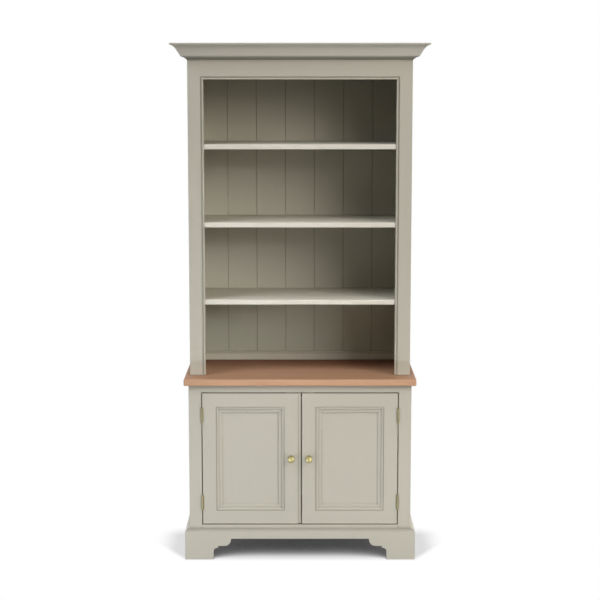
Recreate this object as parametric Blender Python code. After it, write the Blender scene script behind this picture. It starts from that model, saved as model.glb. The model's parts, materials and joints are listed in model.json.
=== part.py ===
"""Bookcase cabinet: an open shelf rack with a boarded back on a two-door base cupboard.

Units are metres and +Z is up. The front faces -Y, and the origin lies on the floor under the middle of the
whole object. Each sub-part becomes one named object.
"""
import math

import bmesh
import bpy

# Fits
JOINT_GAP = 0.0003             # glue line between pieces that touch
DOOR_GAP = 0.0035              # shadow gap round and between the doors
OVERSHOOT = 0.002              # how far a cutter or a root runs past the face that it meets
ARC_STEPS = 6                  # facets in a moulded arc
ROUND_SIDES = 16               # facets round a turned piece
SMOOTH_ANGLE = math.radians(30)

# Base cupboard
BASE_WIDTH = 0.886
BASE_DEPTH = 0.451             # face frame to rear plane
BASE_HEIGHT = 0.708            # floor to the underside of the worktop
BASE_SIDE_T = 0.018
BASE_BACK_T = 0.009
BASE_FLOOR_T = 0.018
BASE_STILE_W = 0.0503
BASE_TOP_RAIL_H = 0.029
SILL_RISE = 0.014              # lower edge of the door opening above the plinth
CARCASE_LIFT = 0.002           # carcase bottom above the plinth arches
HOUSING_DEPTH = 0.006          # groove in a side that holds a shelf, floor or roof

# Shelf inside the cupboard
CUPBOARD_SHELF_T = 0.018
CUPBOARD_SHELF_RISE = 0.2615   # cupboard floor to the top of the shelf
CUPBOARD_SHELF_SETBACK = 0.045  # behind the doors
BEARER_W = 0.020
BEARER_H = 0.020

# Worktop
WORKTOP_T = 0.026
WORKTOP_OVERHANG = 0.0182
WORKTOP_ARRIS = 0.0035         # rounding of the long edges
WORKTOP_CORNER_R = 0.002       # front corners in plan, inside the arris

# Plinth with bracket feet
PLINTH_BAND_H = 0.0398         # board left above the arches
PLINTH_T = 0.0183
PLINTH_ROUND = 0.013           # rounded top edge
FOOT_W = 0.1137                # outer corner to the inner edge of a front foot
SIDE_FOOT_W = 0.095            # the same on the shorter ends
FOOT_STRAIGHT = 0.0315         # upright inner edge of a foot
BRACKET_COVE_R = 0.0155
BRACKET_TOOTH = 0.003          # small flat beyond the cove
BRACKET_STEP = 0.0078
BRACKET_FLAT = 0.026
BRACKET_OVOLO_R = 0.026
BRACKET_HEAD = 0.0039          # upright above the ovolo

# Doors
DOOR_MEMBER_W = 0.055          # visible flat of the stiles and rails
PANEL_RECESS = 0.010           # door face to panel face
PANEL_T = 0.008
PANEL_BACKING = 0.004          # frame stock left behind the panel
PANEL_GROOVE = 0.010           # depth of the groove that holds the panel
PANEL_FLOAT = 0.0015           # room for the panel to swell
MEETING_LIP_W = 0.012          # set-back lip on the left door's meeting edge
MEETING_LIP_RECESS = 0.006
TENON_ROOT = 0.005             # how far a stub tenon is modelled into its rail

# Panel moulding, planted inside the door frame
MOULDING_QUIRK_W = 0.0016
MOULDING_QUIRK_D = 0.004       # below the door's face
MOULDING_ARRIS = 0.001         # outer edge of the bead
MOULDING_FLAT_W = 0.0034       # top of the bead
MOULDING_ROUND_R = 0.004       # inner edge of the bead
MOULDING_UPPER_W = 0.005       # hollow below the bead
MOULDING_STEP_W = 0.0065       # flat between the two hollows
MOULDING_STEP_H = 0.0048
MOULDING_LOWER_W = 0.006       # hollow that runs out on the panel
MOULDING_EDGE = 0.0008         # thickness at the inner edge

# Butt hinges
HINGE_LENGTH = 0.062
HINGE_INSET = 0.058            # door end to hinge end
HINGE_KNUCKLE_R = 0.0037
HINGE_KNUCKLES = 5
HINGE_KNUCKLE_GAP = 0.0004
HINGE_PIN_R = 0.0018
HINGE_LEAF_T = 0.0018
HINGE_LEAF_MARGIN = 0.004      # stock left behind a leaf
HINGE_OFFSET = 0.001           # axis off the middle of the door gap, towards the door

# Knobs
KNOB_PROJECTION = 0.032
KNOB_R = 0.0132
KNOB_HEAD_T = 0.013            # thickness of the domed head
KNOB_NECK_R = 0.0055
KNOB_ROSE_R = 0.0125
KNOB_ROSE_T = 0.0028
KNOB_RISE = 0.0015             # above the middle of the door
KNOB_STUD_R = 0.002
KNOB_STUD_L = 0.016
KNOB_TIP_R = 0.0008

# Double magnetic catch and its strikes
CATCH_MARGIN = 0.002           # catch past the strikes
CATCH_D = 0.016
CATCH_SEAT = 0.012             # height screwed to the top rail
STRIKE_W = 0.022
STRIKE_H = 0.012
STRIKE_T = 0.0012
STRIKE_FROM_EDGE = 0.006
STRIKE_FROM_TOP = 0.003

# Rack
RACK_INSET = 0.0015            # rack's side in from the cupboard's side
LEDGE_D = 0.078                # cupboard front to rack front
RACK_SIDE_T = 0.018
RACK_FRAME_T = 0.022
RACK_STILE_W = 0.0619
FRIEZE_H = 0.1248
ROOF_DROP = 0.0318             # roof below the top of the frame
ROOF_T = 0.018
BEAD_W = 0.0068                # quirk bead round the opening
BEAD_QUIRK_W = 0.0048
BEAD_SINK = 0.0002             # top of the bead below the frame's face

# Rack shelves
SHELF_COUNT = 3
SHELF_T = 0.0198
LOWEST_SHELF_TOP = 0.305       # above the worktop
SHELF_PITCH = 0.309
TOP_BAY_H = 0.2525             # top shelf to the head of the opening
SHELF_SETBACK = 0.006          # behind the face frame's front
SHELF_ARRIS = 0.0022

# Boarded back
BOARD_COUNT = 7
BOARD_T = 0.012
BOARD_CHAMFER = 0.002
TONGUE_L = 0.005
TONGUE_T = 0.004
BACK_RAIL_H = 0.035
BACK_RAIL_T = 0.0107
BACK_RAIL_BEAD = 0.005         # bead along the rail's top
BACK_RAIL_QUIRK = 0.0025

# Cornice
CORNICE_H = 0.0635
CORNICE_RISE = 0.0154          # above the top of the frame
CORNICE_PROJECTION = 0.0645
CORNICE_FILLET = 0.0065        # upright band at the top
CORNICE_QUIRK = 0.0025
CORNICE_COVE_R = 0.044
CORNICE_COVE_DEG = (20, 56)    # slope at the head and at the foot of the cove
CORNICE_NOSE_R = 0.007
CORNICE_BED_R = 0.033          # hollow between the nose and the foot
CORNICE_BED_DEG = (12, 50)
CORNICE_FOOT = 0.0015          # thickness at the lower edge

# Finishes: colour, roughness, metallic
PAINT = ("paint", (0.50, 0.48, 0.40, 1.0), 0.5, 0.0)
OAK = ("oak", (0.56, 0.35, 0.22, 1.0), 0.45, 0.0)
BRASS = ("brass", (0.60, 0.48, 0.20, 1.0), 0.28, 1.0)
STEEL = ("steel", (0.55, 0.55, 0.56, 1.0), 0.35, 1.0)
PLASTIC = ("plastic", (0.05, 0.05, 0.05, 1.0), 0.5, 0.0)

# Places worked out from the sizes above
Y_REAR = (BASE_DEPTH + KNOB_PROJECTION) / 2
BASE_FRONT = Y_REAR - BASE_DEPTH
FRONT_STOCK_T = PANEL_RECESS + PANEL_T + PANEL_BACKING
BASE_INSIDE = BASE_FRONT + FRONT_STOCK_T
BASE_HALF = BASE_WIDTH / 2
BASE_INNER = BASE_HALF - BASE_SIDE_T
ARCH_Z = FOOT_STRAIGHT + BRACKET_COVE_R + BRACKET_STEP + BRACKET_OVOLO_R + BRACKET_HEAD
PLINTH_H = ARCH_Z + PLINTH_BAND_H
CARCASE_Z = ARCH_Z + CARCASE_LIFT
SILL_Z = PLINTH_H + SILL_RISE
OPENING_HALF = BASE_HALF - BASE_STILE_W
OPENING_TOP = BASE_HEIGHT - BASE_TOP_RAIL_H
DOOR_Z0 = SILL_Z + DOOR_GAP
DOOR_Z1 = OPENING_TOP - DOOR_GAP
DOOR_OUTER = OPENING_HALF - DOOR_GAP
DOOR_MEETING = (MEETING_LIP_W + DOOR_GAP) / 2
PANEL_Y = BASE_FRONT + PANEL_RECESS
HINGE_LEAF_W = FRONT_STOCK_T - HINGE_LEAF_MARGIN
HINGE_X = OPENING_HALF - DOOR_GAP / 2 - HINGE_OFFSET
HINGE_Y = BASE_FRONT - HINGE_KNUCKLE_R - JOINT_GAP
HINGE_STARTS = {"upper": DOOR_Z1 - HINGE_INSET - HINGE_LENGTH, "lower": DOOR_Z0 + HINGE_INSET}
WORKTOP_Z0 = BASE_HEIGHT + JOINT_GAP
WORKTOP_Z1 = WORKTOP_Z0 + WORKTOP_T
RACK_FRONT = BASE_FRONT + LEDGE_D
RACK_INSIDE = RACK_FRONT + RACK_FRAME_T
RACK_HALF = BASE_HALF - RACK_INSET
RACK_INNER = RACK_HALF - RACK_SIDE_T
RACK_OPENING = RACK_HALF - RACK_STILE_W
RACK_Z0 = WORKTOP_Z1 + JOINT_GAP
SHELF_TOPS = [WORKTOP_Z1 + LOWEST_SHELF_TOP + i * SHELF_PITCH for i in range(SHELF_COUNT)]
RACK_OPENING_TOP = SHELF_TOPS[-1] + TOP_BAY_H
RACK_Z1 = RACK_OPENING_TOP + FRIEZE_H
ROOF_Z = RACK_Z1 - ROOF_DROP - ROOF_T
BOARD_FRONT = Y_REAR - BOARD_T
SIDES = (("left", -1), ("right", 1))


def remove_all():
    """Empty the scene."""
    for obj in list(bpy.data.objects):
        bpy.data.objects.remove(obj)


def new_object(name, bm, finish=None):
    """Turn a closed bmesh into a named object with its own material."""
    bmesh.ops.recalc_face_normals(bm, faces=bm.faces)
    mesh = bpy.data.meshes.new(name)
    bm.to_mesh(mesh)
    bm.free()
    obj = bpy.data.objects.new(name, mesh)
    bpy.context.scene.collection.objects.link(obj)
    if finish:
        label, colour, roughness, metallic = finish
        material = bpy.data.materials.new(f"{name}_{label}")
        material.use_nodes = True
        shader = material.node_tree.nodes["Principled BSDF"]
        shader.inputs["Base Color"].default_value = colour
        shader.inputs["Roughness"].default_value = roughness
        shader.inputs["Metallic"].default_value = metallic
        mesh.materials.append(material)
    return obj


def loft(rings, closed=False):
    """Skin rings of equal length into one body, with end caps or joined into a loop."""
    bm = bmesh.new()
    rows = [[bm.verts.new(point) for point in ring] for ring in rings]
    pairs = list(zip(rows, rows[1:]))
    if closed:
        pairs.append((rows[-1], rows[0]))
    else:
        bm.faces.new(list(reversed(rows[0])))
        bm.faces.new(rows[-1])
    for lower, upper in pairs:
        for i, corner in enumerate(lower):
            j = (i + 1) % len(lower)
            bm.faces.new((corner, lower[j], upper[j], upper[i]))
    return bm


def prism(outline, axis, start, stop):
    """Extrude an outline along an axis: X takes (y, z) points, Y takes (x, z) and Z takes (x, y)."""
    place = {
        "X": lambda point, t: (t, point[0], point[1]),
        "Y": lambda point, t: (point[0], t, point[1]),
        "Z": lambda point, t: (point[0], point[1], t),
    }[axis]
    return loft([[place(point, t) for point in outline] for t in (start, stop)])


def box(x, y, z):
    """A block between two limits on each axis."""
    return prism([(x[0], y[0]), (x[1], y[0]), (x[1], y[1]), (x[0], y[1])], "Z", z[0], z[1])


def arc(centre, radius, start, stop, steps=ARC_STEPS):
    """Points on a circle from one angle to another, in degrees."""
    angles = [math.radians(start + (stop - start) * i / steps) for i in range(steps + 1)]
    return [(centre[0] + radius * math.cos(a), centre[1] + radius * math.sin(a)) for a in angles]


def circle(centre, radius):
    """A closed outline round a centre."""
    return arc(centre, radius, 0, 360, ROUND_SIDES)[:-1]


def turned(profile, x, z):
    """A body turned about a line along Y: each profile point is a radius and a y."""
    rings = [[(px, y, pz) for px, pz in circle((x, z), radius)] for radius, y in profile]
    return loft(rings)


def combine(target, tool_mesh, operation):
    """Join a tool body to an object, or cut it away."""
    tool = new_object("tool", tool_mesh)
    modifier = target.modifiers.new("combine", "BOOLEAN")
    modifier.operation = operation
    modifier.solver = "EXACT"
    modifier.object = tool
    result = bpy.data.meshes.new_from_object(target.evaluated_get(bpy.context.evaluated_depsgraph_get()))
    target.modifiers.clear()
    target.data = result
    bpy.data.objects.remove(tool)


def mirrored(outline, sign):
    """An outline drawn for the right side, flipped for the left one."""
    return [(sign * across, other) for across, other in outline]


def housed_side_outline(inner, outer, bottom, top, housings):
    """A side panel seen from the front, with housing grooves in its inner face."""
    outline = [(outer, top), (outer, bottom), (inner, bottom)]
    for low, high in sorted(housings):
        floor = inner + HOUSING_DEPTH
        outline += [(inner, low - JOINT_GAP), (floor, low - JOINT_GAP)]
        outline += [(floor, high + JOINT_GAP), (inner, high + JOINT_GAP)]
    return outline + [(inner, top)]


def housed_half_width(inner):
    """Half length of a board whose ends sit in the sides' housings."""
    return inner + HOUSING_DEPTH - JOINT_GAP


def make_base_carcase():
    """Sides, floor, back and face frame of the cupboard."""
    inside = BASE_INSIDE + JOINT_GAP
    back_front = Y_REAR - BASE_BACK_T
    floor_z = (SILL_Z - BASE_FLOOR_T, SILL_Z)
    side_outline = housed_side_outline(BASE_INNER, BASE_HALF, CARCASE_Z, BASE_HEIGHT, [floor_z])
    for side, sign in SIDES:
        new_object(f"base_{side}_side", prism(mirrored(side_outline, sign), "Y", inside, Y_REAR), PAINT)
    half = housed_half_width(BASE_INNER)
    new_object("base_floor", box((-half, half), (inside, back_front - JOINT_GAP), floor_z), PAINT)
    half = BASE_INNER - JOINT_GAP
    new_object("base_back", box((-half, half), (back_front, Y_REAR), (CARCASE_Z, BASE_HEIGHT)), PAINT)
    for side, sign in SIDES:
        x = sorted((sign * OPENING_HALF, sign * BASE_HALF))
        stile = new_object(f"base_{side}_stile", box(x, (BASE_FRONT, BASE_INSIDE), (0, BASE_HEIGHT)), PAINT)
        for start in HINGE_STARTS.values():
            combine(stile, hinge_mortise(sign, OPENING_HALF, 1, start), "DIFFERENCE")
    half = OPENING_HALF - JOINT_GAP
    for name, z in (("top", (OPENING_TOP, BASE_HEIGHT)), ("bottom", (CARCASE_Z, SILL_Z))):
        new_object(f"base_{name}_rail", box((-half, half), (BASE_FRONT, BASE_INSIDE), z), PAINT)


def make_cupboard_shelf():
    """The inner shelf and the bearers that it lies on."""
    y = (BASE_INSIDE + CUPBOARD_SHELF_SETBACK, Y_REAR - BASE_BACK_T - JOINT_GAP)
    top = SILL_Z + CUPBOARD_SHELF_RISE
    underside = top - CUPBOARD_SHELF_T
    half = BASE_INNER - JOINT_GAP
    new_object("cupboard_shelf", box((-half, half), y, (underside, top)), PAINT)
    bearer_z = (underside - JOINT_GAP - BEARER_H, underside - JOINT_GAP)
    for side, sign in SIDES:
        x = sorted((sign * half, sign * (half - BEARER_W)))
        new_object(f"cupboard_bearer_{side}", box(x, y, bearer_z), PAINT)


def worktop_ring(inset, z):
    """The worktop's plan at one height, drawn in from its front and ends by the arris."""
    half = BASE_HALF + WORKTOP_OVERHANG - inset
    front = BASE_FRONT - WORKTOP_OVERHANG + inset
    radius = WORKTOP_CORNER_R + WORKTOP_ARRIS - inset
    corner = arc((half - radius, front + radius), radius, 0, -90)
    plan = [(half, Y_REAR)] + corner + mirrored(reversed(corner), -1) + [(-half, Y_REAR)]
    return [(x, y, z) for x, y in plan]


def make_worktop():
    """Oak top with rounded edges."""
    rounding = arc((0, 0), WORKTOP_ARRIS, 0, 90, ARC_STEPS // 2)
    top = [(WORKTOP_ARRIS - out, WORKTOP_Z1 - WORKTOP_ARRIS + up) for out, up in rounding]
    bottom = [(WORKTOP_ARRIS - out, WORKTOP_Z0 + WORKTOP_ARRIS - up) for out, up in reversed(rounding)]
    new_object("worktop", loft([worktop_ring(inset, z) for inset, z in bottom + top]), OAK)


def surround(name, profile, half, front, finish):
    """Three mitred lengths round the front and ends: a profile point is (distance out, z)."""
    right = [(half + out - JOINT_GAP, front - out, z) for out, z in profile]
    left = [(-x, y, z) for x, y, z in right]
    pieces = {"front": new_object(f"{name}_front", loft([left, right]), finish)}
    for side, sign in SIDES:
        mitred = [(sign * (half + out), front - out, z) for out, z in profile]
        square = [(sign * (half + out), Y_REAR, z) for out, z in profile]
        pieces[side] = new_object(f"{name}_{side}", loft([mitred, square]), finish)
    return pieces


def bracket_outline(edge, inward):
    """Inner outline of a bracket foot, from the floor up: edge is its inner edge, inward is -1 or 1."""
    cove = arc((BRACKET_COVE_R, FOOT_STRAIGHT), BRACKET_COVE_R, 180, 90)
    flat_z = FOOT_STRAIGHT + BRACKET_COVE_R + BRACKET_STEP
    step = BRACKET_COVE_R + BRACKET_TOOTH
    ovolo = arc((step + BRACKET_FLAT, flat_z + BRACKET_OVOLO_R), BRACKET_OVOLO_R, -90, 0)
    points = [(0, -OVERSHOOT)] + cove + [(step, cove[-1][1]), (step, flat_z)] + ovolo
    points += [(ovolo[-1][0], ARCH_Z)]
    return [(edge + inward * along, z) for along, z in points]


def arch_outline(first_edge, second_edge):
    """The gap between two bracket feet."""
    return bracket_outline(first_edge, 1) + list(reversed(bracket_outline(second_edge, -1)))


def make_plinth():
    """Plinth boards with a rounded top edge, cut to bracket feet on the front and both ends."""
    radius = min(PLINTH_ROUND, PLINTH_T - OVERSHOOT)
    rounding = arc((PLINTH_T - radius, PLINTH_H - radius), radius, 0, 90)
    profile = [(JOINT_GAP, 0), (PLINTH_T, 0)] + rounding + [(JOINT_GAP, PLINTH_H)]
    pieces = surround("plinth", profile, BASE_HALF, BASE_FRONT, PAINT)
    outer = BASE_HALF + PLINTH_T
    front = BASE_FRONT - PLINTH_T
    foot = outer - FOOT_W
    front_cut = prism(arch_outline(-foot, foot), "Y", front - OVERSHOOT, BASE_FRONT + OVERSHOOT)
    combine(pieces["front"], front_cut, "DIFFERENCE")
    for side, sign in SIDES:
        x = sorted((sign * (BASE_HALF - OVERSHOOT), sign * (outer + OVERSHOOT)))
        side_cut = prism(arch_outline(front + SIDE_FOOT_W, Y_REAR - SIDE_FOOT_W), "X", x[0], x[1])
        combine(pieces[side], side_cut, "DIFFERENCE")


def hinge_mortise(sign, edge, outward, start):
    """Cutter for the seat of a hinge leaf in an edge of the frame (outward 1) or of a door (-1)."""
    x = sorted((sign * (edge - outward * OVERSHOOT), sign * (edge + outward * (HINGE_LEAF_T + JOINT_GAP))))
    y = (BASE_FRONT - OVERSHOOT, BASE_FRONT + HINGE_LEAF_W + JOINT_GAP)
    return box(x, y, (start - JOINT_GAP, start + HINGE_LENGTH + JOINT_GAP))


def hinge_leaf(name, sign, edge, outward, start, knuckles):
    """A leaf let into an edge, with its own knuckles on the hinge axis."""
    seat = edge + outward * HINGE_LEAF_T
    x = sorted((sign * edge, sign * seat))
    z = (start, start + HINGE_LENGTH)
    root = BASE_FRONT + OVERSHOOT
    clear = BASE_FRONT - JOINT_GAP
    bend = [(HINGE_X, HINGE_Y), (HINGE_X, clear), (edge, clear), (edge, root), (seat, root), (seat, HINGE_Y)]
    leaf = new_object(name, box(x, (BASE_FRONT, BASE_FRONT + HINGE_LEAF_W), z), BRASS)
    pitch = HINGE_LENGTH / HINGE_KNUCKLES
    for i in knuckles:
        low = start + i * pitch + HINGE_KNUCKLE_GAP / 2
        high = start + (i + 1) * pitch - HINGE_KNUCKLE_GAP / 2
        combine(leaf, prism(mirrored(bend, sign), "Z", low, high), "UNION")
        barrel = circle((sign * HINGE_X, HINGE_Y), HINGE_KNUCKLE_R)
        combine(leaf, prism(barrel, "Z", low, high), "UNION")
    return leaf


def make_hinge(side, sign, level, start):
    """One butt hinge: the frame leaf carries the pin, the door leaf turns on it."""
    centre = (sign * HINGE_X, HINGE_Y)
    odd = range(0, HINGE_KNUCKLES, 2)
    even = range(1, HINGE_KNUCKLES, 2)
    fixed = hinge_leaf(f"{side}_{level}_hinge_frame_leaf", sign, OPENING_HALF, 1, start, odd)
    pin_end = HINGE_LENGTH - HINGE_KNUCKLE_GAP
    pin = prism(circle(centre, HINGE_PIN_R), "Z", start + HINGE_KNUCKLE_GAP, start + pin_end)
    combine(fixed, pin, "UNION")
    moving = hinge_leaf(f"{side}_{level}_hinge_door_leaf", sign, DOOR_OUTER, -1, start, even)
    bore = circle(centre, HINGE_PIN_R + JOINT_GAP)
    combine(moving, prism(bore, "Z", start - OVERSHOOT, start + HINGE_LENGTH + OVERSHOOT), "DIFFERENCE")
    return moving


def grooved_section(plain, grooved):
    """Section of a door member: (across, y) with the panel groove in one edge."""
    groove_y = (PANEL_Y - JOINT_GAP, PANEL_Y + PANEL_T + JOINT_GAP)
    floor = grooved + math.copysign(PANEL_GROOVE, plain - grooved)
    return [
        (plain, BASE_FRONT), (grooved, BASE_FRONT),
        (grooved, groove_y[0]), (floor, groove_y[0]), (floor, groove_y[1]), (grooved, groove_y[1]),
        (grooved, BASE_INSIDE), (plain, BASE_INSIDE),
    ]


def make_door_frame(side, sign):
    """Stiles and rails of a door; the left door has the set-back lip on its meeting edge."""
    z = (DOOR_Z0, DOOR_Z1)
    hinge_inner = DOOR_OUTER - DOOR_MEMBER_W
    meeting_inner = DOOR_MEETING + DOOR_MEMBER_W
    section = grooved_section(DOOR_OUTER, hinge_inner)
    hinge_stile = new_object(f"{side}_door_hinge_stile", prism(mirrored(section, sign), "Z", *z), PAINT)
    for start in HINGE_STARTS.values():
        combine(hinge_stile, hinge_mortise(sign, DOOR_OUTER, -1, start), "DIFFERENCE")
    section = grooved_section(DOOR_MEETING, meeting_inner)
    if side == "left":
        lip = DOOR_MEETING - MEETING_LIP_W
        lip_y = BASE_FRONT + MEETING_LIP_RECESS
        section = section[:-1] + [(lip, BASE_INSIDE), (lip, lip_y), (DOOR_MEETING, lip_y)]
    meeting_stile = new_object(f"{side}_door_meeting_stile", prism(mirrored(section, sign), "Z", *z), PAINT)
    pieces = [hinge_stile, meeting_stile]
    span = sorted((sign * (meeting_inner + JOINT_GAP), sign * (hinge_inner - JOINT_GAP)))
    for name, plain, inward in (("top", DOOR_Z1, -1), ("bottom", DOOR_Z0, 1)):
        grooved = plain + inward * DOOR_MEMBER_W
        section = [(y, across) for across, y in grooved_section(plain, grooved)]
        rail = new_object(f"{side}_door_{name}_rail", prism(section, "X", *span), PAINT)
        tenon_z = sorted((plain, grooved - inward * PANEL_GROOVE))
        tenon_l = PANEL_GROOVE - 2 * JOINT_GAP
        for x in ((span[0] - tenon_l, span[0] + TENON_ROOT), (span[1] - TENON_ROOT, span[1] + tenon_l)):
            combine(rail, box(x, (PANEL_Y, PANEL_Y + PANEL_T), tenon_z), "UNION")
        pieces.append(rail)
    return pieces


def make_door_panel(side, sign):
    """Flat panel in the grooves, with the moulding planted round it."""
    x = sorted((sign * (DOOR_MEETING + DOOR_MEMBER_W), sign * (DOOR_OUTER - DOOR_MEMBER_W)))
    z = (DOOR_Z0 + DOOR_MEMBER_W, DOOR_Z1 - DOOR_MEMBER_W)
    reach = PANEL_GROOVE - PANEL_FLOAT
    panel_x = (x[0] - reach, x[1] + reach)
    panel_z = (z[0] - reach, z[1] + reach)
    panel = new_object(f"{side}_door_panel", box(panel_x, (PANEL_Y, PANEL_Y + PANEL_T), panel_z), PAINT)
    profile = moulding_profile()
    corners = ((0, 0), (1, 0), (1, 1), (0, 1))
    rings = []
    for right, top in corners:
        ring = []
        for inset, height in profile:
            px = x[right] + (-inset if right else inset)
            pz = z[top] + (-inset if top else inset)
            ring.append((px, PANEL_Y - height, pz))
        rings.append(ring)
    moulding = new_object(f"{side}_door_moulding", loft(rings, closed=True), PAINT)
    return [panel, moulding]


def moulding_profile():
    """Section of the panel moulding: (distance in from the frame, height above the panel)."""
    quirk_floor = PANEL_RECESS - MOULDING_QUIRK_D
    flat_start = MOULDING_QUIRK_W + MOULDING_ARRIS
    flat_end = flat_start + MOULDING_FLAT_W
    step_start = flat_end + MOULDING_ROUND_R + MOULDING_UPPER_W
    step_end = step_start + MOULDING_STEP_W
    width = step_end + MOULDING_LOWER_W
    arris = arc((flat_start, PANEL_RECESS - MOULDING_ARRIS), MOULDING_ARRIS, 180, 90, ARC_STEPS // 2)
    rounded = arc((flat_end, PANEL_RECESS - MOULDING_ROUND_R), MOULDING_ROUND_R, 90, 0)
    upper = hollow(rounded[-1], (step_start, MOULDING_STEP_H))
    lower = hollow((step_end, MOULDING_STEP_H), (width, MOULDING_EDGE))
    profile = [(JOINT_GAP, JOINT_GAP), (JOINT_GAP, quirk_floor), (MOULDING_QUIRK_W, quirk_floor)]
    profile += arris + rounded + upper[1:] + lower
    return profile + [(width, JOINT_GAP)]


def hollow(start, stop):
    """A hollow quarter curve that falls steeply from start and runs out flat at stop."""
    width = stop[0] - start[0]
    drop = start[1] - stop[1]
    quarter = arc((1, 1), 1, 180, 270, ARC_STEPS // 2)
    return [(start[0] + width * across, stop[1] + drop * up) for across, up in quarter]


def make_knob(side, sign, stile):
    """Turned knob on the meeting stile, with its stud in the stile."""
    x = sign * (DOOR_MEETING + DOOR_MEMBER_W / 2)
    z = (DOOR_Z0 + DOOR_Z1) / 2 + KNOB_RISE
    hole_r = KNOB_STUD_R + JOINT_GAP
    hole_end = BASE_FRONT + KNOB_STUD_L + JOINT_GAP
    combine(stile, turned([(hole_r, BASE_FRONT - OVERSHOOT), (hole_r, hole_end)], x, z), "DIFFERENCE")
    neck_angle = math.degrees(math.acos(KNOB_NECK_R / KNOB_R))
    tip_angle = math.degrees(math.acos(KNOB_TIP_R / KNOB_R))
    outline = [(KNOB_STUD_R, -KNOB_STUD_L), (KNOB_STUD_R, JOINT_GAP), (KNOB_ROSE_R, JOINT_GAP)]
    outline += [(KNOB_ROSE_R, KNOB_ROSE_T), (KNOB_NECK_R, KNOB_ROSE_T)]
    for across, forward in arc((0, 0), 1, -neck_angle, tip_angle, 2 * ARC_STEPS):
        outline.append((KNOB_R * across, KNOB_PROJECTION - KNOB_HEAD_T * (1 - forward) / 2))
    profile = [(radius, BASE_FRONT - out) for radius, out in outline]
    return new_object(f"{side}_door_knob", turned(profile, x, z), BRASS)


def make_strike(side, sign, stile):
    """Steel plate let flush into the back of the meeting stile."""
    edge = DOOR_MEETING + STRIKE_FROM_EDGE
    x = sorted((sign * edge, sign * (edge + STRIKE_W)))
    top = DOOR_Z1 - STRIKE_FROM_TOP
    z = (top - STRIKE_H, top)
    front = BASE_INSIDE - STRIKE_T
    pocket_x = (x[0] - JOINT_GAP, x[1] + JOINT_GAP)
    pocket_z = (z[0] - JOINT_GAP, z[1] + JOINT_GAP)
    pocket = box(pocket_x, (front - JOINT_GAP, BASE_INSIDE + OVERSHOOT), pocket_z)
    combine(stile, pocket, "DIFFERENCE")
    return new_object(f"{side}_door_strike", box(x, (front, BASE_INSIDE), z), STEEL)


def make_doors():
    """Both doors, each hung on an empty that stands on its hinge axis."""
    for side, sign in SIDES:
        pieces = make_door_frame(side, sign) + make_door_panel(side, sign)
        stile = pieces[1]
        pieces += [make_knob(side, sign, stile), make_strike(side, sign, stile)]
        pieces += [make_hinge(side, sign, level, start) for level, start in HINGE_STARTS.items()]
        axis = bpy.data.objects.new(f"{side}_door_axis", None)
        axis.location = (sign * HINGE_X, HINGE_Y, 0)
        bpy.context.scene.collection.objects.link(axis)
        for piece in pieces:
            piece.parent = axis
            piece.location = -axis.location


def make_catch():
    """Double magnetic catch, screwed to the back of the top rail and reaching down behind the doors."""
    half = DOOR_MEETING + STRIKE_FROM_EDGE + STRIKE_W + CATCH_MARGIN
    y = (BASE_INSIDE + JOINT_GAP, BASE_INSIDE + CATCH_D)
    bottom = DOOR_Z1 - STRIKE_FROM_TOP - STRIKE_H - CATCH_MARGIN
    new_object("door_catch", box((-half, half), y, (bottom, OPENING_TOP + CATCH_SEAT)), PLASTIC)


def bead_cutter():
    """What the quirk bead's plane takes off round the rack's opening, mitred at the two top corners."""
    radius = BEAD_W / 2
    bead = arc((radius, radius + BEAD_SINK), radius, 0, -180)
    quirk = BEAD_W + BEAD_QUIRK_W
    depth = bead[0][1]
    section = [(-OVERSHOOT, -OVERSHOOT), (quirk, -OVERSHOOT), (quirk, depth)] + bead + [(-OVERSHOOT, depth)]
    stations = ((-1, False), (-1, True), (1, True), (1, False))
    rings = []
    for sign, at_top in stations:
        ring = []
        for out, sunk in section:
            z = RACK_OPENING_TOP + out if at_top else RACK_Z0 - OVERSHOOT
            ring.append((sign * (RACK_OPENING + out), RACK_FRONT + sunk, z))
        rings.append(ring)
    return loft(rings)


def make_rack_frame():
    """Sides, roof and the beaded face frame; the frieze is haunched over the bead at its ends."""
    inside = RACK_INSIDE + JOINT_GAP
    housings = [(top - SHELF_T, top) for top in SHELF_TOPS] + [(ROOF_Z, ROOF_Z + ROOF_T)]
    side_outline = housed_side_outline(RACK_INNER, RACK_HALF, RACK_Z0, RACK_Z1, housings)
    half = housed_half_width(RACK_INNER)
    roof = box((-half, half), (inside, BOARD_FRONT - JOINT_GAP), (ROOF_Z, ROOF_Z + ROOF_T))
    new_object("rack_roof", roof, PAINT)
    haunch = BEAD_W + BEAD_QUIRK_W
    top = RACK_OPENING_TOP
    stile_outline = [
        (RACK_HALF, RACK_Z0), (RACK_HALF, RACK_Z1), (RACK_OPENING + haunch, RACK_Z1),
        (RACK_OPENING + haunch, top + haunch), (RACK_OPENING, top), (RACK_OPENING, RACK_Z0),
    ]
    for side, sign in SIDES:
        new_object(f"rack_{side}_side", prism(mirrored(side_outline, sign), "Y", inside, Y_REAR), PAINT)
        bm = prism(mirrored(stile_outline, sign), "Y", RACK_FRONT, RACK_INSIDE)
        stile = new_object(f"rack_{side}_stile", bm, PAINT)
        combine(stile, bead_cutter(), "DIFFERENCE")
    low = RACK_OPENING - JOINT_GAP
    high = low + haunch
    half_outline = [(low, top), (high, top + haunch), (high, RACK_Z1)]
    outline = half_outline + mirrored(reversed(half_outline), -1)
    frieze = new_object("rack_frieze", prism(outline, "Y", RACK_FRONT, RACK_INSIDE), PAINT)
    combine(frieze, bead_cutter(), "DIFFERENCE")


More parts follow.
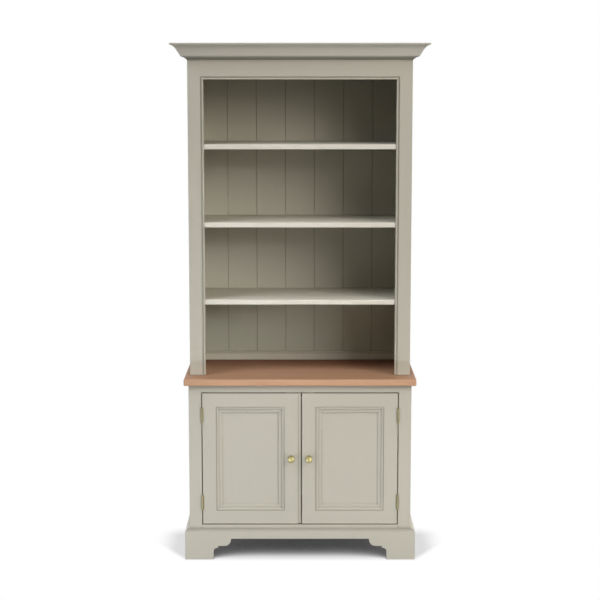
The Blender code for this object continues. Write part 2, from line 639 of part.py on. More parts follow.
def make_rack_shelves():
    """Shelves housed in the sides and notched round the stiles, with eased front edges."""
    narrow = RACK_OPENING - JOINT_GAP
    wide = housed_half_width(RACK_INNER)
    front = RACK_FRONT + SHELF_SETBACK
    notch = RACK_INSIDE + JOINT_GAP
    rear = BOARD_FRONT - JOINT_GAP
    for i, top in enumerate(SHELF_TOPS):
        bottom = top - SHELF_T
        r = SHELF_ARRIS
        section = arc((front + r, bottom + r), r, 270, 180, ARC_STEPS // 2)
        section += arc((front + r, top - r), r, 180, 90, ARC_STEPS // 2)
        section += [(rear, top), (rear, bottom)]
        shelf = new_object(f"rack_shelf_{i + 1}", prism(section, "X", -wide, wide), PAINT)
        for _, sign in SIDES:
            x = sorted((sign * narrow, sign * (wide + OVERSHOOT)))
            z = (bottom - OVERSHOOT, top + OVERSHOOT)
            combine(shelf, box(x, (front - OVERSHOOT, notch), z), "DIFFERENCE")


def board_outline(left, right, grooved, tongued):
    """Plan of one back board: groove in the left edge, tongue on the right one, chamfered fronts."""
    middle = (BOARD_FRONT + Y_REAR) / 2
    tongue = (middle - TONGUE_T / 2, middle + TONGUE_T / 2)
    outline = [(left, Y_REAR)]
    if grooved:
        floor = left + TONGUE_L + 2 * JOINT_GAP
        outline += [(left, tongue[1] + JOINT_GAP), (floor, tongue[1] + JOINT_GAP)]
        outline += [(floor, tongue[0] - JOINT_GAP), (left, tongue[0] - JOINT_GAP)]
    outline += [(left, BOARD_FRONT + BOARD_CHAMFER), (left + BOARD_CHAMFER, BOARD_FRONT)]
    outline += [(right - BOARD_CHAMFER, BOARD_FRONT), (right, BOARD_FRONT + BOARD_CHAMFER)]
    if tongued:
        outline += [(right, tongue[0]), (right + TONGUE_L, tongue[0])]
        outline += [(right + TONGUE_L, tongue[1]), (right, tongue[1])]
    return outline + [(right, Y_REAR)]


def make_back_boards():
    """Tongue-and-groove boards between the sides, and the beaded rail along their foot."""
    pitch = 2 * RACK_INNER / BOARD_COUNT
    for i in range(BOARD_COUNT):
        left = -RACK_INNER + i * pitch + JOINT_GAP
        right = -RACK_INNER + (i + 1) * pitch - (JOINT_GAP if i == BOARD_COUNT - 1 else 0)
        outline = board_outline(left, right, i > 0, i < BOARD_COUNT - 1)
        new_object(f"back_board_{i + 1}", prism(outline, "Z", RACK_Z0, RACK_Z1), PAINT)
    front = BOARD_FRONT - JOINT_GAP - BACK_RAIL_T
    rear = BOARD_FRONT - JOINT_GAP
    top = RACK_Z0 + BACK_RAIL_H
    r = BACK_RAIL_BEAD / 2
    bead = arc((front + r, top - r), r, 90, 270)
    quirk_z = bead[-1][1] - BACK_RAIL_QUIRK
    outline = [(rear, top)] + bead + [(front + r, quirk_z), (front, quirk_z)]
    outline += [(front, RACK_Z0), (rear, RACK_Z0)]
    half = RACK_INNER - JOINT_GAP
    new_object("back_rail", prism(outline, "X", -half, half), PAINT)


def sloped_arc(end, radius, slopes, rising):
    """A hollow climbing outwards between two slopes in degrees: end is its foot if rising, else its head."""
    head, foot = slopes
    known = math.radians(foot if rising else head)
    centre = (end[0] + radius * math.sin(known), end[1] - radius * math.cos(known))
    return arc(centre, radius, 90 + foot, 90 + head)


def cornice_profile():
    """Section of the cornice: (distance out from the rack, height above its foot)."""
    fillet_z = CORNICE_H - CORNICE_FILLET
    bed = sloped_arc((CORNICE_FOOT, 0), CORNICE_BED_R, CORNICE_BED_DEG, True)
    cove_head = (CORNICE_PROJECTION - CORNICE_QUIRK, fillet_z)
    cove = sloped_arc(cove_head, CORNICE_COVE_R, CORNICE_COVE_DEG, False)
    shallow = CORNICE_BED_DEG[0]
    steep = CORNICE_COVE_DEG[1]
    slope = math.radians(shallow)
    nose_centre = (
        bed[-1][0] - CORNICE_NOSE_R * math.sin(slope),
        bed[-1][1] + CORNICE_NOSE_R * math.cos(slope),
    )
    nose = arc(nose_centre, CORNICE_NOSE_R, shallow - 90, steep - 90)
    profile = [(JOINT_GAP, 0)] + bed + nose[1:] + cove
    return profile + [(CORNICE_PROJECTION, fillet_z), (CORNICE_PROJECTION, CORNICE_H), (JOINT_GAP, CORNICE_H)]


def make_cornice():
    """Mitred cornice round the top of the rack."""
    foot_z = RACK_Z1 + CORNICE_RISE - CORNICE_H
    profile = [(out, foot_z + height) for out, height in cornice_profile()]
    surround("cornice", profile, RACK_HALF, RACK_FRONT, PAINT)


def shade_round_faces():
    """Shade curved faces smooth and keep the arrises sharp."""
    for obj in bpy.data.objects:
        if obj.type == "MESH":
            obj.data.shade_smooth()
            obj.data.set_sharp_from_angle(angle=SMOOTH_ANGLE)


def main():
    remove_all()
    make_base_carcase()
    make_cupboard_shelf()
    make_worktop()
    make_plinth()
    make_doors()
    make_catch()
    make_rack_frame()
    make_rack_shelves()
    make_back_boards()
    make_cornice()
    shade_round_faces()


main()
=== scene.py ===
"""Looks of the bookcase cabinet: finishes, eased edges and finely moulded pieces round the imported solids.

Units are metres, +Z is up and the front faces -Y, as in the solids.
"""
import json
import math

import bmesh
import bpy
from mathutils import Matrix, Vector
from mathutils.bvhtree import BVHTree


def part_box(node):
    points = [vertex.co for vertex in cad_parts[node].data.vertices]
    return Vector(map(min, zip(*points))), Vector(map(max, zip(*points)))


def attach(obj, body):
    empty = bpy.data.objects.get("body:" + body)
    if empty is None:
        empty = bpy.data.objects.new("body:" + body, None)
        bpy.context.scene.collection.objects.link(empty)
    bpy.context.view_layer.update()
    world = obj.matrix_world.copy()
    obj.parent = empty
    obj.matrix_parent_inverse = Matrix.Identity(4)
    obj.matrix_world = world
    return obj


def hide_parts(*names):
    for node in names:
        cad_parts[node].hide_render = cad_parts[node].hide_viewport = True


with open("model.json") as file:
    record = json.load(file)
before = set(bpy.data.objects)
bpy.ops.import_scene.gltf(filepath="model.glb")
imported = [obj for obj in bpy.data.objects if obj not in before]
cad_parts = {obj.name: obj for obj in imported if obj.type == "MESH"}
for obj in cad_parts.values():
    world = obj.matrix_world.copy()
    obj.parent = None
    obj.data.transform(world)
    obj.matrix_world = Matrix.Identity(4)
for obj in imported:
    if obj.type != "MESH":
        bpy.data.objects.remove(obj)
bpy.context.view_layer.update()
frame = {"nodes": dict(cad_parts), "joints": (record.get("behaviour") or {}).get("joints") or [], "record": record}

# Fineness of the meshes
ARC_STEPS = 14
SMALL_STEPS = 6
ROUND_SIDES = 48
SMALL_SIDES = 24
SMOOTH_ANGLE = math.radians(32)
JOINT_GAP = 0.0003
OVERSHOOT = 0.002

# Eased arrises
EASE = 0.0009  # painted boards
EASE_FINE = 0.0005  # mouldings
EASE_METAL = 0.00025
EASE_STEPS = 3
FREE_GAP = 0.0009  # an edge with another piece nearer than this is a joint
FREE_ANGLE = math.radians(55)  # only corners sharper than this are eased
FREE_SHARE = 0.6  # of an edge's length that has to stand free
EDGE_SAMPLES = 9
WELD = 0.00001
FLAT = math.radians(0.5)

# Sizes that the solids also have
WORKTOP_ARRIS = 0.0035
WORKTOP_CORNER_R = 0.002
PLINTH_ROUND = 0.013
FOOT_W = 0.1137
SIDE_FOOT_W = 0.095
FOOT_STRAIGHT = 0.0315
BRACKET_COVE_R = 0.0155
BRACKET_TOOTH = 0.003
BRACKET_STEP = 0.0078
BRACKET_FLAT = 0.026
BRACKET_OVOLO_R = 0.026
BRACKET_HEAD = 0.0039
PANEL_RECESS = 0.010
MOULDING_QUIRK_W = 0.0016
MOULDING_QUIRK_D = 0.004
MOULDING_ARRIS = 0.001
MOULDING_FLAT_W = 0.0034
MOULDING_ROUND_R = 0.004
MOULDING_UPPER_W = 0.005
MOULDING_STEP_W = 0.0065
MOULDING_STEP_H = 0.0048
MOULDING_LOWER_W = 0.006
MOULDING_EDGE = 0.0008
HINGE_KNUCKLE_R = 0.0037
HINGE_KNUCKLES = 5
HINGE_KNUCKLE_GAP = 0.0004
HINGE_PIN_R = 0.0018
HINGE_LEAF_T = 0.0018
HINGE_LEAF_W = 0.018
KNOB_R = 0.0132
KNOB_HEAD_T = 0.013
KNOB_NECK_R = 0.0055
KNOB_ROSE_R = 0.0125
KNOB_ROSE_T = 0.0028
KNOB_TIP_R = 0.0004
BEAD_W = 0.0068
BEAD_QUIRK_W = 0.0048
BEAD_SINK = 0.0002
SHELF_ARRIS = 0.0022
BACK_RAIL_BEAD = 0.005
BACK_RAIL_QUIRK = 0.0025
CORNICE_FILLET = 0.0065
CORNICE_QUIRK = 0.0025
CORNICE_COVE_R = 0.044
CORNICE_COVE_DEG = (20, 56)
CORNICE_NOSE_R = 0.007
CORNICE_BED_R = 0.033
CORNICE_BED_DEG = (12, 50)
CORNICE_FOOT = 0.0015

# Sizes of the fine work
KNOB_RIM_R = 0.0011
KNOB_FLARE_R = 0.0035
SCREW_R = 0.0030
SCREW_RISE = 0.00035
SCREW_SLOT_W = 0.0007
SCREW_SLOT_D = 0.0006
SCREW_DOME = (0.0, 0.3, 0.7, 1.1, 1.5)  # angles of the dome's rings, in radians
HINGE_SCREWS = ((0.17, 0), (0.5, 0.0035), (0.83, 0))  # share of the leaf's length, distance off its middle
STRIKE_CORNER_R = 0.002
STRIKE_HOLE_R = (0.0036, 0.0024)  # at the face and at the bottom
STRIKE_HOLE_D = 0.0010
STRIKE_HEAD_R = (0.0034, 0.0022)
STRIKE_HEAD_SUNK = 0.0001
STRIKE_SLOT_W = 0.0008
STRIKE_SLOT_D = 0.0005
POLE_H = 0.0022
POLE_DEPTH = 0.004
POLE_GAP = 0.0001  # round a pole plate, and how far it stands proud
POLE_PLACES = (0.3, 0.7)  # shares of the strike's height

# Places, read from the solids
BASE_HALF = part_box("base_right_stile")[1].x
BASE_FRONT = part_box("base_right_stile")[0].y
Y_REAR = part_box("base_right_side")[1].y
RACK_OPENING, RACK_FRONT, RACK_Z0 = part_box("rack_right_stile")[0]
RACK_HALF, RACK_INSIDE, RACK_Z1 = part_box("rack_right_stile")[1]
RACK_OPENING_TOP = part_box("rack_frieze")[0].z
PANEL_Y = BASE_FRONT + PANEL_RECESS
SIDES = (("left", -1), ("right", 1))
SHELVES = [f"rack_shelf_{number}" for number in (1, 2, 3)]
CABINET = "cabinet"

# Boards of the cupboard's face frame that meet the worktop, and boards whose free arrises are eased
BASE_FRAME = ("base_left_stile", "base_right_stile", "base_top_rail")
DOOR_FRAME = ("hinge_stile", "meeting_stile", "top_rail", "bottom_rail")
EASED = [
    "base_left_side", "base_right_side", *BASE_FRAME, "base_bottom_rail",
    "rack_left_side", "rack_right_side", "cupboard_shelf", "cupboard_bearer_left", "cupboard_bearer_right",
]
EASED += [f"{side}_door_{name}" for side, _ in SIDES for name in DOOR_FRAME]

# Camera of the photograph
CAMERA_PLACE = (0, -6.1696, 1.8784)
CAMERA_PITCH = 0.1381
CAMERA_LENS = 91.66
CAMERA_SENSOR = 36

# Colours
PAINT = (0.54, 0.517, 0.443)
OAK_LIGHT = (0.69, 0.435, 0.285)
OAK_DARK = (0.525, 0.305, 0.19)
OAK_PORE = (0.34, 0.19, 0.115)
# painted shade: the darker oak tone for the ledge and the back of the rack
OAK_SHADE = (0.14, 0.03, 0.01)
# painted light: a greener tone that offsets the red light bounced from the oak onto the lowest bay
BAY_LIGHT_OLIVE = (0.43, 0.517, 0.42)
# painted light: a paler paint tone laid where more light should fall
PAINTED_LIGHT_TONE = (0.76, 0.73, 0.65)
KNOB_BRASS = (0.39, 0.345, 0.165)
HINGE_BRASS = (0.28, 0.25, 0.135)
STEEL = (0.55, 0.55, 0.56)
PLASTIC = (0.05, 0.05, 0.05)
WHITE = (1, 1, 1)

# Paint: noise cells to the metre, and bump heights
STROKE_CELLS = 420
STROKE_STRETCH = 0.02
CLOUD_CELLS = 2.2
MOTTLE_CELLS = 38
PEEL_CELLS = 900
TONE_SWING = 0.015
STROKE_SHARE = 0.5
MOTTLE_SHARE = 0.4
STROKE_HEIGHT = 0.00006
PEEL_HEIGHT = 0.00004
PAINT_ROUGHNESS = (0.46, 0.56)
PAINT_SPECULAR = 0.10

# Oak: sizes, noise cells to the metre, how they are drawn out along X, and shares of the darker tones
STAVE_W = 0.104
STAVE_SHIFT = 7.0
RING_W = 0.0034
RING_WAVER = 0.010
PITH_DROP = 0.045  # of the rings' centre under the worktop
PITH_SPREAD = 0.11  # of the rings' centres from stave to stave
LATE_LIMITS = (0.05, 0.5)
LATE_SHARE = 0.6
WAVER_CELLS = 16
WAVER_STRETCH = (0.12, 1, 1)
FIBRE_CELLS = 900
FIBRE_STRETCH = (0.012, 1, 1)
FIBRE_SHARE = 0.5
FIBRE_HEIGHT = 0.00008
PORE_CELLS = 1500
PORE_STRETCH = (0.02, 1, 1)
PORE_LIMITS = (0.60, 0.70)
PORE_SHARE = 0.35
PORE_DEPTH = 0.00015
WIDE_CELLS = 9
WIDE_STRETCH = (0.3, 1, 1)
WIDE_SHARE = 0.25
STAVE_SHARE = 0.22
OAK_ROUGHNESS = (0.40, 0.55)
OAK_SPECULAR = 0.05

# Metal and plastic
SCRATCH_CELLS = 2500
SCRATCH_HEIGHT = 0.00001
TARNISH_CELLS = 140
TARNISH_GAINS = (0.93, 1.05)
METAL_SWING = (-0.05, 0.06)  # of the roughness
SPARK_CELLS = 1800
SPARK_HEIGHT = 0.00005
SPARK_GAINS = (0.9, 1.15)
PLASTIC_ROUGHNESS = (0.48, 0.6)

# Painted shade in crevices: its reach, its strength, and the openness where it is full and where it ends
CREVICE_SHADE = (0.014, 0.95, (0, 0.8))
MOULDING_SHADE = (0.010, 0.40, (0.70, 0.98))
QUIRK_SHADE = (0.004, 0.40, (0.70, 0.98))
OVERHANG_SHADE = (0.03, 0.9, (0, 0.9))
OAK_CREVICE_SHADE = (0.03, 0.5, (0.25, 0.9))
SHADE_TINT = (0.25, 0.22, 0.15)
SHADE_SAMPLES = 12

# Painted light and shade by place, fitted to the photograph: strengths, gains on the paint, and reaches in metres
FOOT_LIGHT = 0.42
FOOT_LIMITS = (0.03, 0.075)  # above the worktop
ROOF_SHADE = 0.25
ROOF_GAIN = 0.1
ROOF_REACH = 0.2
BAY_LIGHT_TINT = 0.35
BAY_FADE = 0.02
RAIL_LIGHT = 0.6
BED_SHADE = 0.6
BED_GAIN = 0.2
BED_LIMITS = (0.022, 0.001)  # in front of the rack
COVE_FADE = 0.005
PLINTH_SHADE = 0.45
PLINTH_SHADE_GAIN = 0.4
PLINTH_SHADE_LIMITS = (0.013, 0.005)  # under the plinth's top
LEDGE_LIGHT_END = 0.003
SHELF_LIGHT_REACH = 0.12
OAK_LEDGE_SHADE = 0.25
OAK_LEDGE_REACH = 0.02
OAK_INNER_SHADE = 0.90

# Floor with its painted shadow, and surround
FLOOR_HALF = 30.0
FLOOR_DROP = 0.0005
FLOOR_GREY = 0.3
UNDER_REACH = 0.55
UNDER_STOPS = ((0.06, 0.045), (0.12, 0.145), (0.40, 1.0))  # openness and brightness
BESIDE_REACH = 0.25
BESIDE_SHADE = 0.29
BESIDE_LIMITS = (0.745, 0.868)
FAN_SLOPE = 1.7
FAN_START = (-0.02, 0.03)
FAN_END = (0.34, 0.45)
AMBIENT = 0.01
SKY_SHADES = (1.0, 0.3)
SKY_LIMITS = (0.3, 0.8)


def arc(centre, radius, start, stop, steps=ARC_STEPS):
    """Points on a circle from one angle to another, in degrees."""
    angles = [math.radians(start + (stop - start) * i / steps) for i in range(steps + 1)]
    return [(centre[0] + radius * math.cos(a), centre[1] + radius * math.sin(a)) for a in angles]


def circle(centre, radius, sides):
    """A closed outline round a centre."""
    return arc(centre, radius, 0, 360, sides)[:-1]


def loft(rings):
    """Skin rings of equal length into one body with end caps."""
    bm = bmesh.new()
    rows = [[bm.verts.new(point) for point in ring] for ring in rings]
    bm.faces.new(list(reversed(rows[0])))
    bm.faces.new(rows[-1])
    for lower, upper in zip(rows, rows[1:]):
        for i, corner in enumerate(lower):
            j = (i + 1) % len(lower)
            bm.faces.new((corner, lower[j], upper[j], upper[i]))
    return bm


def prism(outline, axis, start, stop):
    """Extrude an outline along an axis: X takes (y, z) points, Y takes (x, z) and Z takes (x, y)."""
    place = {
        "X": lambda point, t: (t, point[0], point[1]),
        "Y": lambda point, t: (point[0], t, point[1]),
        "Z": lambda point, t: (point[0], point[1], t),
    }[axis]
    return loft([[place(point, t) for point in outline] for t in (start, stop)])


def block(x, y, z):
    """A block between two limits on each axis."""
    return prism([(x[0], y[0]), (x[1], y[0]), (x[1], y[1]), (x[0], y[1])], "Z", z[0], z[1])


def turned(profile, centre, direction, sides=ROUND_SIDES):
    """A body turned about a line: each profile point is a radius and a distance along the direction."""
    direction = Vector(direction)
    across = direction.orthogonal().normalized()
    other = direction.cross(across)
    rings = []
    for radius, along in profile:
        foot = Vector(centre) + direction * along
        rings.append([foot + across * u + other * v for u, v in circle((0, 0), radius, sides)])
    return loft(rings)


def span(middle, half):
    """Two limits at equal distances from a middle."""
    return (middle - half, middle + half)


def mirrored(outline, sign):
    """An outline drawn for the right side, flipped for the left one."""
    return [(sign * across, other) for across, other in outline]


def new_object(name, bm):
    """Turn a bmesh into an object with outward faces."""
    bmesh.ops.recalc_face_normals(bm, faces=bm.faces)
    mesh = bpy.data.meshes.new(name)
    bm.to_mesh(mesh)
    bm.free()
    obj = bpy.data.objects.new(name, mesh)
    bpy.context.scene.collection.objects.link(obj)
    return obj


def combine(target, tool_mesh, operation):
    """Join a tool body to an object, or cut it away."""
    tool = new_object("tool", tool_mesh)
    modifier = target.modifiers.new("combine", "BOOLEAN")
    modifier.operation = operation
    modifier.solver = "EXACT"
    modifier.object = tool
    evaluated = target.evaluated_get(bpy.context.evaluated_depsgraph_get())
    result = bpy.data.meshes.new_from_object(evaluated)
    target.modifiers.clear()
    target.data = result
    bpy.data.objects.remove(tool)


def dress(obj, material, body, nodes=(), ease=0):
    """Shade a piece, give it its finish, and tie it to its body and the solids it stands for."""
    obj.data.shade_smooth()
    obj.data.set_sharp_from_angle(angle=SMOOTH_ANGLE)
    obj.data.materials.clear()
    obj.data.materials.append(material)
    if ease:
        bevel = obj.modifiers.new("ease", "BEVEL")
        bevel.width = ease
        bevel.segments = EASE_STEPS
        bevel.limit_method = "ANGLE"
        bevel.angle_limit = FREE_ANGLE
    normals = obj.modifiers.new("normals", "WEIGHTED_NORMAL")
    normals.keep_sharp = True
    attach(obj, body)
    if nodes:
        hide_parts(*nodes)


def make(name, bm, material, body, nodes):
    """A new piece from a bmesh."""
    dress(new_object(name, bm), material, body, nodes)


def add(tree, kind, inputs=None, **settings):
    """Add a shader node; an input is a value or another node's output."""
    made = tree.nodes.new(f"ShaderNode{kind}")
    for key, value in settings.items():
        setattr(made, key, value)
    for key, value in (inputs or {}).items():
        if isinstance(value, bpy.types.NodeSocket):
            tree.links.new(value, made.inputs[key])
        else:
            made.inputs[key].default_value = value
    return made


def colour(rgb, gain=1.0):
    """An RGBA value, made lighter or darker."""
    return tuple(gain * c for c in rgb) + (1.0,)


def shader_of(name):
    """A new material, its tree, its Principled shader and the object's own coordinates."""
    material = bpy.data.materials.new(name)
    material.use_nodes = True
    tree = material.node_tree
    coords = add(tree, "TexCoord").outputs["Object"]
    return material, tree, tree.nodes["Principled BSDF"], coords


def noise(tree, coords, scale, stretch=(1, 1, 1), detail=3.0):
    """Noise with so many cells to the metre, drawn out along an axis by a small stretch value."""
    placed = add(tree, "Mapping", {"Vector": coords, "Scale": stretch}).outputs[0]
    inputs = {"Vector": placed, "Scale": scale, "Detail": detail}
    return add(tree, "TexNoise", inputs).outputs[0]


def mix(tree, factor, first, second):
    """Blend two colours by a factor."""
    return add(tree, "MixRGB", {"Fac": factor, "Color1": first, "Color2": second}).outputs[0]


def ranged(tree, value, low, high, source=(0.3, 0.7)):
    """Map a value's range, by default the usual range of noise, to another range."""
    limits = {"From Min": source[0], "From Max": source[1], "To Min": low, "To Max": high}
    return add(tree, "MapRange", {"Value": value, **limits}).outputs[0]


def math_node(tree, operation, first, second=0.0):
    """One sum on shader values."""
    return add(tree, "Math", {0: first, 1: second}, operation=operation).outputs[0]


def bump(tree, height, distance, strength, under=None):
    """A bump of a real height in metres, laid over another bump."""
    inputs = {"Height": height, "Distance": distance, "Strength": strength}
    if under is not None:
        inputs["Normal"] = under
    return add(tree, "Bump", inputs).outputs[0]


def wire(tree, shader, base, roughness, normal):
    """Plug a finish's colour, roughness and bump into its shader."""
    for name, value in (("Base Color", base), ("Roughness", roughness), ("Normal", normal)):
        tree.links.new(value, shader.inputs[name])


def openness(tree, reach, samples=32):
    """How open a surface is within a reach: 0 where other faces shut it in, up to 1."""
    return add(tree, "AmbientOcclusion", {"Distance": reach}, samples=samples).outputs["AO"]


def place_on(tree, coords, axis):
    """One coordinate, X, Y or Z, of a place in the object."""
    return add(tree, "SeparateXYZ", {"Vector": coords}).outputs[axis]


def faded(tree, place, shares, limits, under, over):
    """One colour over another, by a share that changes between two limits of a coordinate."""
    return mix(tree, ranged(tree, place, *shares, limits), under, over)


def painted_crevice_shade(tree, plain_tone, base, shade_values):
    """Paint shade into a finish's crevices, darker where other faces shut it in, by one of the crevice shade
    values above.
    """
    reach, strength, limits = shade_values
    shade_share = ranged(tree, openness(tree, reach, SHADE_SAMPLES), strength, 0, limits)
    shade_tone = tuple(part * share for part, share in zip(base, SHADE_TINT))
    return mix(tree, shade_share, plain_tone, colour(shade_tone))


def shaded_by(shade_values):
    """Painted shade that only darkens the crevices of the paint."""
    return lambda tree, coords, plain_tone: painted_crevice_shade(tree, plain_tone, PAINT, shade_values)


def stile_light_and_shade(tree, coords, plain_tone):
    """Painted light and shade of the rack's stiles: paler at the foot, painted light over the shadow that the
    worktop's edge casts there, with fine painted shade in the quirks.
    """
    limits = [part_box("worktop")[1].z + height for height in FOOT_LIMITS]
    height = place_on(tree, coords, "Z")
    lit_foot = faded(tree, height, (FOOT_LIGHT, 0), limits, plain_tone, colour(PAINTED_LIGHT_TONE))
    return painted_crevice_shade(tree, lit_foot, PAINT, QUIRK_SHADE)


def boarded(tree, coords, plain_tone):
    """Painted light and shade of the back boards: painted shade in the joints and towards the roof, and a greener
    tone in the lowest bay that offsets the red light bounced off the oak.
    """
    height = place_on(tree, coords, "Z")
    limits = (RACK_OPENING_TOP - ROOF_REACH, RACK_OPENING_TOP)
    roof_shaded = faded(tree, height, (0, ROOF_SHADE), limits, plain_tone, colour(PAINT, ROOF_GAIN))
    shelf = min(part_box(node)[0].z for node in SHELVES)
    greener = faded(tree, height, (BAY_LIGHT_TINT, 0), (shelf, shelf + BAY_FADE), roof_shaded, colour(BAY_LIGHT_OLIVE))
    return painted_crevice_shade(tree, greener, PAINT, QUIRK_SHADE)


def lit_rail(tree, coords, plain_tone):
    """Painted light and shade of the rail behind the worktop: paler all over, with a painted shade line under its
    bead.
    """
    return painted_crevice_shade(tree, mix(tree, RAIL_LIGHT, plain_tone, colour(PAINTED_LIGHT_TONE)), PAINT, QUIRK_SHADE)


def overhung(tree, coords, plain_tone):
    """Painted shade and light of the cornice: darker towards the frieze, and paler in the cove."""
    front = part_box("cornice_front")[0].y
    bed, foot = [RACK_FRONT - distance for distance in BED_LIMITS]
    depth = place_on(tree, coords, "Y")
    shade_tone = faded(tree, depth, (0, BED_SHADE), (bed, foot), plain_tone, colour(PAINT, BED_GAIN))
    starts = ranged(tree, depth, 0, 1, (front + CORNICE_QUIRK, front + 2 * CORNICE_QUIRK))
    ends = ranged(tree, depth, 1, 0, (bed - COVE_FADE, bed))
    return mix(tree, math_node(tree, "MULTIPLY", starts, ends), shade_tone, colour(PAINTED_LIGHT_TONE))


def shaded_ledge(tree, coords, plain_tone):
    """Painted shade of the plinth: darker along the rounded top edge, under the cupboard's front."""
    limits = [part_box("plinth_front")[1].z - drop for drop in PLINTH_SHADE_LIMITS]
    height = place_on(tree, coords, "Z")
    return faded(tree, height, (0, PLINTH_SHADE), limits, plain_tone, colour(PAINT, PLINTH_SHADE_GAIN))


def lit_ledge(tree, coords, plain_tone):
    """Painted light of the plinth's ends: paler on the rounded top edge."""
    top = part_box("plinth_front")[1].z
    limits = (top - PLINTH_ROUND, top - LEDGE_LIGHT_END)
    return faded(tree, place_on(tree, coords, "Z"), (0, 1), limits, plain_tone, colour(PAINTED_LIGHT_TONE))


def lit_front(tree, coords, plain_tone):
    """Painted light of a shelf: paler towards its front edge."""
    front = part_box(SHELVES[0])[0].y + SHELF_ARRIS
    limits = (front, front + SHELF_LIGHT_REACH)
    return faded(tree, place_on(tree, coords, "Y"), (1, 0), limits, plain_tone, colour(PAINTED_LIGHT_TONE))


def paint_material(name, axis, painted_light_and_shade=None):
    """Eggshell paint, brushed along one axis, 0, 1 or 2, with the painted light and shade of its place."""
    material, tree, shader, coords = shader_of(name)
    stretch = [1.0, 1.0, 1.0]
    stretch[axis] = STROKE_STRETCH
    strokes = noise(tree, coords, STROKE_CELLS, stretch, 4.0)
    clouds = noise(tree, coords, CLOUD_CELLS)
    mottle = noise(tree, coords, MOTTLE_CELLS, detail=4.0)
    shades = (colour(PAINT, 1 - TONE_SWING), colour(PAINT, 1 + TONE_SWING))
    tones = [mix(tree, ranged(tree, value, 0, 1), *shades) for value in (clouds, strokes, mottle)]
    painted = mix(tree, MOTTLE_SHARE, mix(tree, STROKE_SHARE, tones[0], tones[1]), tones[2])
    # painted light and shade of the piece's place
    if painted_light_and_shade:
        painted = painted_light_and_shade(tree, coords, painted)
    peel = bump(tree, noise(tree, coords, PEEL_CELLS, detail=2.0), PEEL_HEIGHT, 0.4)
    brushed = bump(tree, strokes, STROKE_HEIGHT, 0.5, peel)
    wire(tree, shader, painted, ranged(tree, mottle, *PAINT_ROUGHNESS), brushed)
    shader.inputs["Specular IOR Level"].default_value = PAINT_SPECULAR
    return material


def oak_staves(tree, coords):
    """The chance value of a point's stave, its way off the stave's middle, and its place in the log."""
    parts = add(tree, "SeparateXYZ", {"Vector": coords}).outputs
    lane = math_node(tree, "DIVIDE", parts["Y"], STAVE_W)
    index = math_node(tree, "FLOOR", lane)
    chance = add(tree, "TexWhiteNoise", {"W": index}, noise_dimensions="1D").outputs["Value"]
    off_middle = math_node(tree, "SUBTRACT", math_node(tree, "FRACT", lane), 0.5)
    across = math_node(tree, "MULTIPLY", off_middle, STAVE_W)
    shifted = math_node(tree, "ADD", parts["X"], math_node(tree, "MULTIPLY", chance, STAVE_SHIFT))
    place = add(tree, "CombineXYZ", {"X": shifted, "Y": parts["Y"], "Z": parts["Z"]}).outputs[0]
    return chance, across, place


def oak_rings(tree, chance, across, place, height):
    """Late wood, 0 to 1, in wavering rings about a centre that changes from stave to stave."""
    waver = ranged(tree, noise(tree, place, WAVER_CELLS, WAVER_STRETCH), -RING_WAVER, RING_WAVER)
    offset = math_node(tree, "MULTIPLY", math_node(tree, "SUBTRACT", chance, 0.5), PITH_SPREAD)
    side = math_node(tree, "ADD", math_node(tree, "ADD", across, offset), waver)
    depth = math_node(tree, "SUBTRACT", height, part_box("worktop")[0].z - PITH_DROP)
    squares = [math_node(tree, "MULTIPLY", value, value) for value in (side, depth)]
    radius = math_node(tree, "SQRT", math_node(tree, "ADD", *squares))
    ring = math_node(tree, "FRACT", math_node(tree, "DIVIDE", radius, RING_W))
    off_middle = math_node(tree, "ABSOLUTE", math_node(tree, "SUBTRACT", ring, 0.5))
    return ranged(tree, off_middle, 1, 0, LATE_LIMITS)


def oak_shade(tree, depth):
    """Painted shade of the oak by place: a little on the ledge, and more towards the back of the rack."""
    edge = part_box("worktop")[0].y
    ledge = ranged(tree, depth, 0, OAK_LEDGE_SHADE, (edge, edge + OAK_LEDGE_REACH))
    inner = ranged(tree, depth, 0, OAK_INNER_SHADE, (RACK_FRONT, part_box("back_rail")[0].y))
    return math_node(tree, "MAXIMUM", ledge, inner)


def oak_material():
    """Edge-glued oak staves along X: rings, fibres, pores, a tone for each stave, and painted shade in the rack
    and in its crevices.
    """
    material, tree, shader, coords = shader_of("oak")
    chance, across, place = oak_staves(tree, coords)
    late = oak_rings(tree, chance, across, place, place_on(tree, coords, "Z"))
    fibre = noise(tree, place, FIBRE_CELLS, FIBRE_STRETCH, 4.0)
    pores = ranged(tree, noise(tree, place, PORE_CELLS, PORE_STRETCH, 2.0), 0, 1, PORE_LIMITS)
    wide = noise(tree, place, WIDE_CELLS, WIDE_STRETCH)
    tones = (
        (math_node(tree, "MULTIPLY", late, LATE_SHARE), OAK_DARK),
        (ranged(tree, fibre, 0, FIBRE_SHARE), OAK_DARK),
        (math_node(tree, "MULTIPLY", pores, PORE_SHARE), OAK_PORE),
        (ranged(tree, wide, 0, WIDE_SHARE), OAK_DARK),
        (math_node(tree, "MULTIPLY", chance, STAVE_SHARE), OAK_DARK),
        # painted shade: darker on the ledge and towards the back of the rack
        (oak_shade(tree, place_on(tree, coords, "Y")), OAK_SHADE),
    )
    wood = colour(OAK_LIGHT)
    for share, tint in tones:
        wood = mix(tree, share, wood, colour(tint))
    # painted shade in the oak's crevices
    wood = painted_crevice_shade(tree, wood, OAK_DARK, OAK_CREVICE_SHADE)
    sunk = math_node(tree, "MULTIPLY", pores, -1.0)
    grain = bump(tree, sunk, PORE_DEPTH, 0.6, bump(tree, fibre, FIBRE_HEIGHT, 0.5))
    wire(tree, shader, wood, ranged(tree, fibre, *OAK_ROUGHNESS), grain)
    shader.inputs["Specular IOR Level"].default_value = OAK_SPECULAR
    return material


